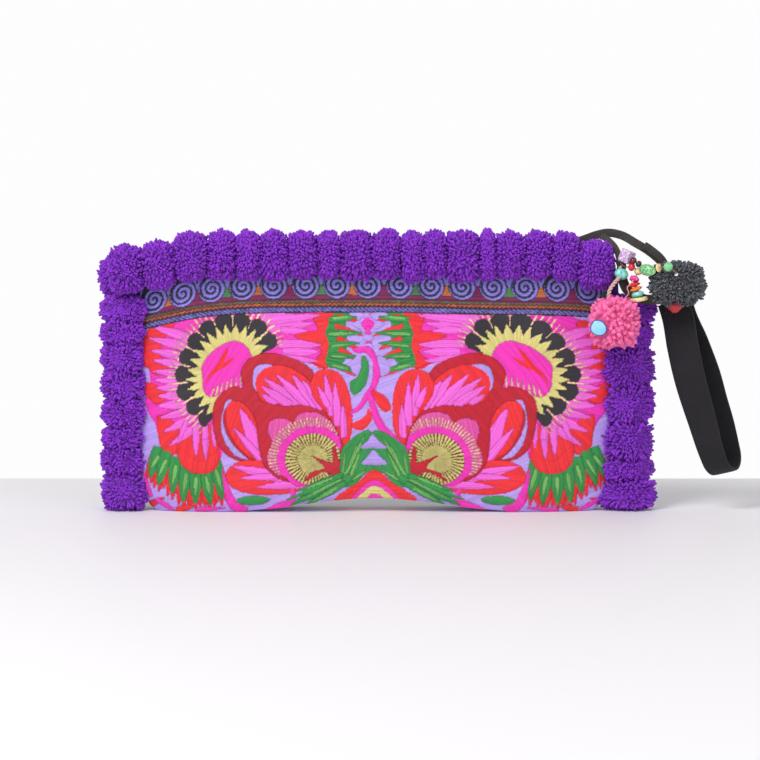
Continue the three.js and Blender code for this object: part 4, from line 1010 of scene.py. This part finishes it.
def swept(path, face, profile):
    """A profile carried along a path, with its flat side towards face, and a fan over each end."""
    way = unit(np.gradient(path, axis=0))
    aside = unit(np.cross(way, face))
    up = np.cross(aside, way)
    rings = path[:, None] + aside[:, None] * profile[:, :1] + up[:, None] * profile[:, 1:]
    rows, columns = rings.shape[:2]
    points = np.concatenate([rings.reshape(-1, 3), path[:1], path[-1:]])
    faces = grid_faces(rows, columns, round_it=True)
    ring = np.arange(columns)
    beside = (ring + 1) % columns
    start = np.stack([beside, ring, np.full(columns, rows * columns)], -1)
    last = (rows - 1) * columns
    end = np.stack([ring + last, beside + last, np.full(columns, rows * columns + 1)], -1)
    return points, faces[:, ::-1], np.concatenate([start, end])[:, ::-1]


strap_down = np.array([math.sin(STRAP_LEAN), 0, -math.cos(STRAP_LEAN)])
strap_across = np.array([math.cos(STRAP_TURN), -math.sin(STRAP_TURN), 0])
strap_across = unit(strap_across - strap_down * (strap_across @ strap_down))
strap_back = unit(np.cross(strap_across, strap_down))
strap_top = from_corner(THONG_ROUTE[-1])[0] + strap_down * STRAP_DROP

held_half = THONG_THICKNESS / 2 + CLEARANCE + STRAP_THICKNESS / 2
straight = STRAP_LENGTH - STRAP_RADIUS
leg = np.array([(0, 0), (STRAP_HOLD / straight, 0), (0.28, 0.55), (0.5, 0.9), (0.75, 1)])
leg_down = leg[:, 0] * straight
leg_back = -held_half - (STRAP_RADIUS - held_half) * leg[:, 1]
bend = np.pi * np.arange(9) / 8
down = np.concatenate([leg_down, straight + STRAP_RADIUS * np.sin(bend), leg_down[::-1]])
back = np.concatenate([leg_back, -STRAP_RADIUS * np.cos(bend), -leg_back[::-1]])
strap_line = strap_top + down[:, None] * strap_down + back[:, None] * strap_back
STRAP_STEPS, STRAP_SIDES = 220, 44
strap_path = curve_through(strap_line, STRAP_STEPS)
strap_face = unit(np.cross(np.gradient(strap_path, axis=0), strap_across))
strap_points, strap_squares, strap_ends = swept(
    strap_path, strap_face, section(STRAP_WIDTH, STRAP_THICKNESS, STRAP_SIDES, 0.3, 0.3 * MM)
)
along = np.repeat(np.arange(STRAP_STEPS), STRAP_SIDES)
ripple = 0.35 * MM * np.sin(along / 7 + 2 * np.sin(along / 23)) * smoothstep(along, 20, 45)
ripple *= 1 - smoothstep(along, 170, 198)
strap_points[:-2] += np.repeat(strap_face, STRAP_SIDES, axis=0) * ripple[:, None]
drawn_in = 0.26 * np.exp(-(((along - STRAP_STEPS / 2) / 42) ** 2))  # the bend's edges pull inwards
aside = (strap_points[:-2] - np.repeat(strap_path, STRAP_SIDES, axis=0)) @ strap_across
strap_points[:-2] -= (drawn_in * aside)[:, None] * strap_across
strap_cotton = material("strap_cotton", Roughness=0.95, Sheen_Weight=0.04, Sheen_Roughness=0.5)
woven(strap_cotton, (6, 5, 8), (32, 30, 36), 0.45 * MM, 0.08 * MM)
strap = dressed("strap_band", strap_cotton, "strap_cloth", strap_points, strap_squares, strap_ends,
                stands_for=["wrist_strap"])

# Thong: a flat lace of dark suede through the slider's bail. Its end is doubled back where it goes into
# the strap, and a thinner tail over the corner carries the charms.

free = from_corner(*THONG_ROUTE)
held = strap_top + np.array([-6 * MM, 0, STRAP_HOLD])[:, None] * strap_down
THONG_STEPS = 120
thong_path = curve_through(np.concatenate([free, held]), THONG_STEPS)
turned = smoothstep(np.linspace(0, 1, THONG_STEPS), 0.5, 0.82)[:, None]
thong_face = unit((1 - turned) * np.array([0, -1.0, 0]) - turned * strap_back)
suede = material("dark_suede", Roughness=0.9, Sheen_Weight=0.12, Sheen_Roughness=0.6)
nap = noise(suede, 900.0, 6.0, Roughness=0.7)
rubbed = noise(suede, 110.0, 3.0)
suede_share = math_node(suede, "MULTIPLY", nap, rubbed)
finish_with(suede, mixed(suede, suede_share, (14, 12, 13), (104, 96, 94)), nap, 0.15 * MM)

lace = section(THONG_WIDTH, THONG_THICKNESS, 20, 0.4)
dressed("thong_lace", suede, "suede", *swept(thong_path, thong_face, lace), stands_for=["thong"])
DOUBLED = slice(66, 94)  # the steps of the thong that its end lies on
doubled = thong_path[DOUBLED] + np.array([0.6, -1.5, 1.5]) * MM
doubled_end = swept(doubled, thong_face[DOUBLED], section(5 * MM, 1.4 * MM, 20, 0.4))
dressed("thong_doubled_end", suede, "suede", *doubled_end)
tail_path = curve_through(from_corner((-6.5, -1, 8.6), (-1.8, -7, 5.8), (2.2, -11, 1.2), (4.4, -15.4, -5.4)),
                          30)
tail_face = np.broadcast_to(unit(np.array([0, -1, 0.2])), tail_path.shape)
dressed("thong_tail", suede, "suede", *swept(tail_path, tail_face, section(4 * MM, THONG_THICKNESS, 20, 0.4)))
scrap_path = curve_through(from_corner((4.2, -15.2, -4.8), (5.6, -15.6, -9), (5, -15, -14), (6.6, -15.2, -19),
                                       (9, -16, -24), (14, -18, -27.6), (20, -19, -30),
                                       (27, -19.6, -30.4)), 60)
scrap_face = unit(np.stack([0.5 * np.sin(np.arange(60) / 6), -np.ones(60), 0.4 * np.cos(np.arange(60) / 5)],
                           -1))
dressed("thong_scrap", suede, "suede", *swept(scrap_path, scrap_face, section(6.4 * MM, 1.4 * MM, 20, 0.4)))

# Threads: two waxed threads strung with beads, and a thick twisted cord that holds the pink pompom.

ACROSS_ROUTE = from_corner((4.6, -18, -4.5), (8.6, -21, -3), (12.7, -24, -5.4), (16.4, -26.5, -7.6),
                           (21.2, -29.5, -10.8), (27.6, -34, -9.1), (33.6, -38.5, -8.1), (38, -36.5, -11.4),
                           (40, -31, -16))
DOWN_ROUTE = from_corner((4.9, -17.6, -7.4), (7.8, -21, -9.4), (11.6, -23.6, -9.4), (16, -22.2, -12.2),
                         (13.3, -24.4, -16.6), (13, -25.6, -20), (14.2, -26, -23), (15.3, -26.2, -26.4),
                         (15.8, -26.2, -29.8), (16, -26.2, -31.8))
CORD_ROUTE = from_corner((4.6, -18.4, -9.4), (5.3, -21.5, -13.9), (1, -25, -19), (-2.6, -27, -24.5),
                         (-2.4, -28.6, -32), (-0.6, -29.6, -38))


def twisted(path, diameter, strands, turn_length):
    """Round strands that wind about a path: each runs on a circle that turns once in turn_length."""
    way = unit(np.gradient(path, axis=0))
    aside = unit(np.cross(way, np.array([0, 1.0, 0.2])))
    up = np.cross(way, aside)
    run = np.concatenate([[0], np.cumsum(np.linalg.norm(np.diff(path, axis=0), axis=1))])
    parts = []
    for strand in range(strands):
        angle = (2 * np.pi * (run / turn_length + strand / strands))[:, None]
        line = path + diameter / 4 * (aside * np.cos(angle) + up * np.sin(angle))
        parts.append(swept(line, aside, section(diameter * 0.56, diameter * 0.56, 8, 1)))
    steps = np.cumsum([0] + [len(part[0]) for part in parts])
    points = np.concatenate([part[0] for part in parts])
    return (points, *(np.concatenate([part[k] + step for part, step in zip(parts, steps)]) for k in (1, 2)))


def fibre(name, dark, light):
    """Twisted thread with fine fibres."""
    made = material(name, Roughness=0.7, Sheen_Weight=0.2)
    fuzz = noise(made, 1800.0, 4.0)
    return finish_with(made, mixed(made, fuzz, dark, light), fuzz, 0.1 * MM)


waxed = fibre("waxed_thread", (92, 44, 34), (196, 140, 104))
for name, route in (("bead_thread_across", ACROSS_ROUTE), ("bead_thread_down", DOWN_ROUTE)):
    dressed(name + "_twist", waxed, "thread", *twisted(curve_through(route, 120), 0.9 * MM, 2, 2.2 * MM),
            stands_for=[name])
tan_cord = fibre("tan_cord", (150, 104, 92), (244, 212, 196))
dressed("pompom_cord_twist", tan_cord, "thread",
        *twisted(curve_through(CORD_ROUTE, 120), 2.6 * MM, 2, 5 * MM),
        stands_for=["pompom_cord"])

red_and_white = fibre("red_and_white_thread", (214, 20, 40), (255, 206, 206))
LOOSE_ROUTE = from_corner((12.9, -26.2, -16.8), (11, -27.6, -19.4), (8.6, -27.4, -22), (9.6, -26.8, -25.6),
                          (7.4, -27, -28.6))
dressed("loose_thread", red_and_white, "thread",
        *twisted(curve_through(LOOSE_ROUTE, 60), 0.9 * MM, 2, 1.8 * MM))

# Beads: pressed glass and dyed stone in bright colours, threaded between seed beads.


def bead(at, way, length, diameter, flat=1.0, full=2.0, round_full=2.0, ridges=None, tip=0.0, rows=22,
         columns=28):
    """A bead along its hole: out = (1 - along^full)^(1/full), round or squared, and flattened.

    ridges is a function of the angle and the place along that stands out from the surface. tip is how far
    the hole dips below the thread.
    """
    at, way = np.asarray(at, float), unit(unit(np.asarray(way, float)) - np.array([0, 0, tip]))
    level = np.cos(np.linspace(np.pi, 0, rows))[:, None]
    out = np.maximum(0, 1 - np.abs(level) ** full) ** (1 / full)
    turn = (2 * np.pi * np.arange(columns) / columns)[None]
    squared = (np.abs(np.cos(turn)) ** round_full + np.abs(np.sin(turn)) ** round_full) ** (-1 / round_full)
    stand = 0 if ridges is None else ridges(turn, level)
    radius = diameter / 2 * out * squared * (1 + stand)
    front = np.array([0, -1.0, 0])
    front = unit(front - way * (front @ way))
    aside = np.cross(front, way)
    spread = radius[..., None] * (np.cos(turn)[..., None] * aside + flat * np.sin(turn)[..., None] * front)
    points = (at + (level * length / 2)[..., None] * way + spread).reshape(-1, 3)
    faces = grid_faces(rows, columns, round_it=True)
    six = (points[faces[:, 0]] * np.cross(points[faces[:, 1]], points[faces[:, 2]])).sum()
    middle_six = (at * np.cross(points[faces[:, 1]] - points[faces[:, 0]],
                                points[faces[:, 2]] - points[faces[:, 0]])).sum()
    return points, faces if six > middle_six else faces[:, ::-1]


def polished(name, dark, light, scale=300.0, rough=0.18, coat=0.5):
    """Polished stone or glass with soft cloudy marks."""
    made = material(name, Roughness=rough, Coat_Weight=coat, Coat_Roughness=0.08)
    cloud = noise(made, scale, 5.0)
    spread = math_node(made, "MULTIPLY", math_node(made, "SUBTRACT", cloud, 0.3), 2.2)
    return finish_with(made, mixed(made, spread, dark, light), cloud, 0.02 * MM)


def knot(route, number):
    """The place and direction of a route at one of its points, or between two."""
    at = np.arange(len(route))
    here, ahead = (
        np.array([through(number + step, at, route[:, k]) for k in range(3)]) for step in (-0.02, 0.02)
    )
    return (here + ahead) / 2, ahead - here


def carved(turn, level):
    """Leaf ribs: slanting cuts down both sides of a middle rib."""
    return -0.2 * np.abs(np.sin(4 * turn + 6 * level)) + 0.05 * np.cos(turn) ** 2


def pleated(turn, level):
    """Shallow scallops round a bead."""
    return 0.07 * np.cos(7 * turn)


glitter = material("glitter_glass", Roughness=0.3, Coat_Weight=0.6)
flake = add_node(glitter, "TexVoronoi", {"Vector": place_on(glitter), "Scale": 1500.0})["Color"]
flake_light = math_node(glitter, "POWER", add_node(glitter, "SeparateColor", {0: flake})[0], 1.6)
finish_with(glitter, mixed(glitter, flake_light, (158, 116, 170), (255, 236, 255)), flake_light, 0.2 * MM)

leaf_green = polished("leaf_green", (14, 122, 54), (176, 246, 178), 650.0)
jade = polished("jade", (70, 176, 104), (156, 226, 166))
cream = polished("cream_stone", (226, 186, 110), (252, 236, 186))
magenta = polished("magenta_stone", (206, 28, 120), (252, 110, 186))
red_glass = polished("red_glass", (176, 10, 22), (240, 44, 50))
orange_shell = polished("orange_shell", (236, 96, 14), (255, 166, 70))
turquoise = polished("turquoise", (62, 168, 158), (168, 240, 228), 500.0)
black_glass = polished("black_glass", (10, 10, 14), (40, 38, 46))
garnet = polished("garnet_glass", (70, 4, 18), (128, 20, 36))
pearl = polished("pearl_white", (232, 226, 224), (255, 252, 250))

BEADS = [
    ("glass_cube", ACROSS_ROUTE, 1, glitter, "cube_glass", 7.4, 8.4, dict(full=9, round_full=9, tip=0.24)),
    ("leaf_bead", ACROSS_ROUTE, 4, leaf_green, "green_bead", 12.4, 7.8,
     dict(flat=0.7, full=1.8, ridges=carved)),
    ("jade_bead", ACROSS_ROUTE, 6, jade, "jade_bead", 5.8, 6, {}),
    ("cream_bead", DOWN_ROUTE, 3, cream, "cream_bead", 4.8, 5.6, {}),
    ("magenta_bead", DOWN_ROUTE, 4.05, magenta, "magenta_bead", 3.8, 6, dict(full=2.6, ridges=pleated)),
    ("red_disc_bead", DOWN_ROUTE, 5.1, red_glass, "red_bead", 2.8, 7.6, dict(full=1.7, ridges=pleated)),
    ("orange_disc_bead", DOWN_ROUTE, 6, orange_shell, "orange_bead", 3.1, 7.8,
     dict(full=1.7, ridges=pleated)),
    ("teal_bead", DOWN_ROUTE, 6.95, turquoise, "turquoise_bead", 4.2, 8, {}),
    ("shell_disc", DOWN_ROUTE, 7.9, cream, "cream_bead", 2.8, 11.2, dict(full=4, ridges=pleated)),
    ("turquoise_bead", CORD_ROUTE, 1, turquoise, "turquoise_bead", 7.2, 9, dict(flat=0.8)),
]
for name, route, number, made, slot, length, diameter, form in BEADS:
    at, way = knot(route, number)
    dressed(name + "_form", made, slot, *bead(at, way, length * MM, diameter * MM, **form), stands_for=[name])

SEED_BEADS = [
    ("garnet_seed", ACROSS_ROUTE, 2, garnet, 3.8, 4.6),
    ("black_seed", ACROSS_ROUTE, 2.85, black_glass, 3.6, 4.4),
    ("tan_seed", ACROSS_ROUTE, 5.05, cream, 2.2, 5.6),
    ("red_seed", DOWN_ROUTE, 2, red_glass, 4.4, 5.2),
    ("white_seed", ACROSS_ROUTE, 7.4, pearl, 1.8, 2.4),
]
for name, route, number, made, length, diameter in SEED_BEADS:
    at, way = knot(route, number)
    dressed(name, made, "thread", *bead(at, way, length * MM, diameter * MM, rows=14, columns=18))

# A domed blue bead with a darker rim, sewn to the front of the pink pompom.

BLUE_RADIUS = 5.2 * MM
BLUE_DEEP = 1.9 * MM
blue_at = from_corner((-10.1, -43.5, -46))[0]
BLUE_ROWS, BLUE_SIDES = 26, 40
level = np.cos(np.linspace(np.pi, 0, BLUE_ROWS))[:, None]
turn = (2 * np.pi * np.arange(BLUE_SIDES) / BLUE_SIDES)[None]
outline = BLUE_RADIUS * (1 + 0.03 * np.cos(3 * turn) + 0.05 * np.cos(2 * turn + 2))
out = np.maximum(0, 1 - np.abs(level) ** 2.6) ** (1 / 2.6)
blue_points = blue_at + np.stack(
    [outline * out * np.sin(turn), -BLUE_DEEP * level * np.ones_like(turn), outline * out * np.cos(turn)], -1
)
sky = material("sky_blue_stone", Roughness=0.15, Coat_Weight=0.6)
rim = add_node(sky, "Attribute", attribute_name="rim")["Fac"]
cloud = noise(sky, 260.0, 4.0)
stone = mixed(sky, cloud, (104, 186, 240), (168, 224, 252))
finish_with(sky, mixed(sky, rim, stone, (26, 84, 150)), cloud, 0.02 * MM)
blue_bead = dressed("sky_blue_form", sky, "sky_blue_bead", blue_points.reshape(-1, 3),
                    grid_faces(BLUE_ROWS, BLUE_SIDES, round_it=True)[:, ::-1], stands_for=["sky_blue_bead"])
carry(blue_bead, "rim", smoothstep((out * np.ones_like(turn)).ravel(), 0.82, 0.92))

# A gathered tip of red cloth, tied under the charcoal pompom.

tip_at = from_corner((38.8, -24, -34.4))[0]
TIP_ROWS, TIP_SIDES = 12, 60
level = np.linspace(0, 1, TIP_ROWS)[:, None]
turn = (2 * np.pi * np.arange(TIP_SIDES) / TIP_SIDES)[None]
out = (1.6 + 3.1 * np.sin(np.pi * (0.15 + 0.85 * level))) * (1 + 0.16 * level * np.cos(6 * turn)) * MM
tip_points = tip_at + np.stack(
    [out * np.cos(turn), 0.6 * out * np.sin(turn),
     (3.6 - 7.2 * level) * MM + 0.5 * MM * level * np.cos(6 * turn)], -1
)
tip_middle = tip_at + np.array([[0, 0, 3.6], [0, 0, -2.4]]) * MM
tip_all = np.concatenate([tip_points.reshape(-1, 3), tip_middle])
ring = np.arange(TIP_SIDES)
beside = (ring + 1) % TIP_SIDES
last, top = (TIP_ROWS - 1) * TIP_SIDES, TIP_ROWS * TIP_SIDES
tip_fans = np.concatenate([np.stack([ring, beside, np.full(TIP_SIDES, top)], -1),
                           np.stack([beside + last, ring + last, np.full(TIP_SIDES, top + 1)], -1)])
red_cloth = woven(material("red_cotton", Roughness=0.75), (158, 26, 40), (228, 72, 84), 0.3 * MM, 0.05 * MM)
tip_sides = grid_faces(TIP_ROWS, TIP_SIDES, round_it=True)[:, ::-1]
dressed("cloth_tip_gathers", red_cloth, "red_cloth", tip_all, tip_sides, tip_fans, stands_for=["cloth_tip"])

# Studio: a plain pale table, a large soft light from the left and above, a weaker one from the right.

TABLE_BACK = 0.168
table_corners = np.array([(-2, -2.4, 0), (2, -2.4, 0), (2, TABLE_BACK, 0), (-2, TABLE_BACK, 0)], float)
table = new_piece("table", table_corners, np.array([[0, 1, 2, 3]]))
table.data.materials.append(material("pale_table", (233, 231, 234), Roughness=0.6))

world = bpy.data.worlds.new("studio")
bpy.context.scene.world = world
world.use_nodes = True
sky_nodes = world.node_tree.nodes
height = sky_nodes.new("ShaderNodeMapRange")
height.interpolation_type = "SMOOTHSTEP"
for socket, value in (("From Min", 0.3), ("From Max", 0.75), ("To Min", 1.0), ("To Max", 0.5)):
    height.inputs[socket].default_value = value
split = sky_nodes.new("ShaderNodeSeparateXYZ")
world.node_tree.links.new(sky_nodes.new("ShaderNodeTexCoord").outputs["Generated"], split.inputs[0])
world.node_tree.links.new(split.outputs["Z"], height.inputs["Value"])
world.node_tree.links.new(height.outputs["Result"], sky_nodes["Background"].inputs["Strength"])
sky_nodes["Background"].inputs["Color"].default_value = (0.985, 0.985, 0.99, 1)
bpy.context.scene.view_settings.view_transform = "Standard"

aim = POUCH_MIDDLE + np.array([0.0032, -FOOT_FRONT, 0.0836 / math.cos(VIEW_TILT)])


def towards(thing, point):
    """Points a lamp or the camera, which look down their own -Z, at a point."""
    way = Vector(point) - thing.location
    thing.rotation_euler = way.to_track_quat("-Z", "Y").to_euler()


for name, spot, size, power in (("key", (-0.9, -1.3, 1.7), 0.9, 30), ("fill", (1.3, -1.3, 0.8), 1.4, 4)):
    lamp = bpy.data.lights.new(name, "AREA")
    lamp.size = size
    lamp.energy = power
    holder = bpy.data.objects.new(name, lamp)
    holder.location = spot
    bpy.context.collection.objects.link(holder)
    towards(holder, aim)

CAMERA_FAR = 3.0
PHOTO_WIDTH = 760 * COUNT
lens = bpy.data.cameras.new("camera")
lens.sensor_width = 36
lens.lens = 36 * CAMERA_FAR / PHOTO_WIDTH
camera = bpy.data.objects.new("camera", lens)
camera.location = aim + CAMERA_FAR * np.array([0, -math.cos(VIEW_TILT), math.sin(VIEW_TILT)])
bpy.context.collection.objects.link(camera)
towards(camera, aim)
bpy.context.scene.camera = camera
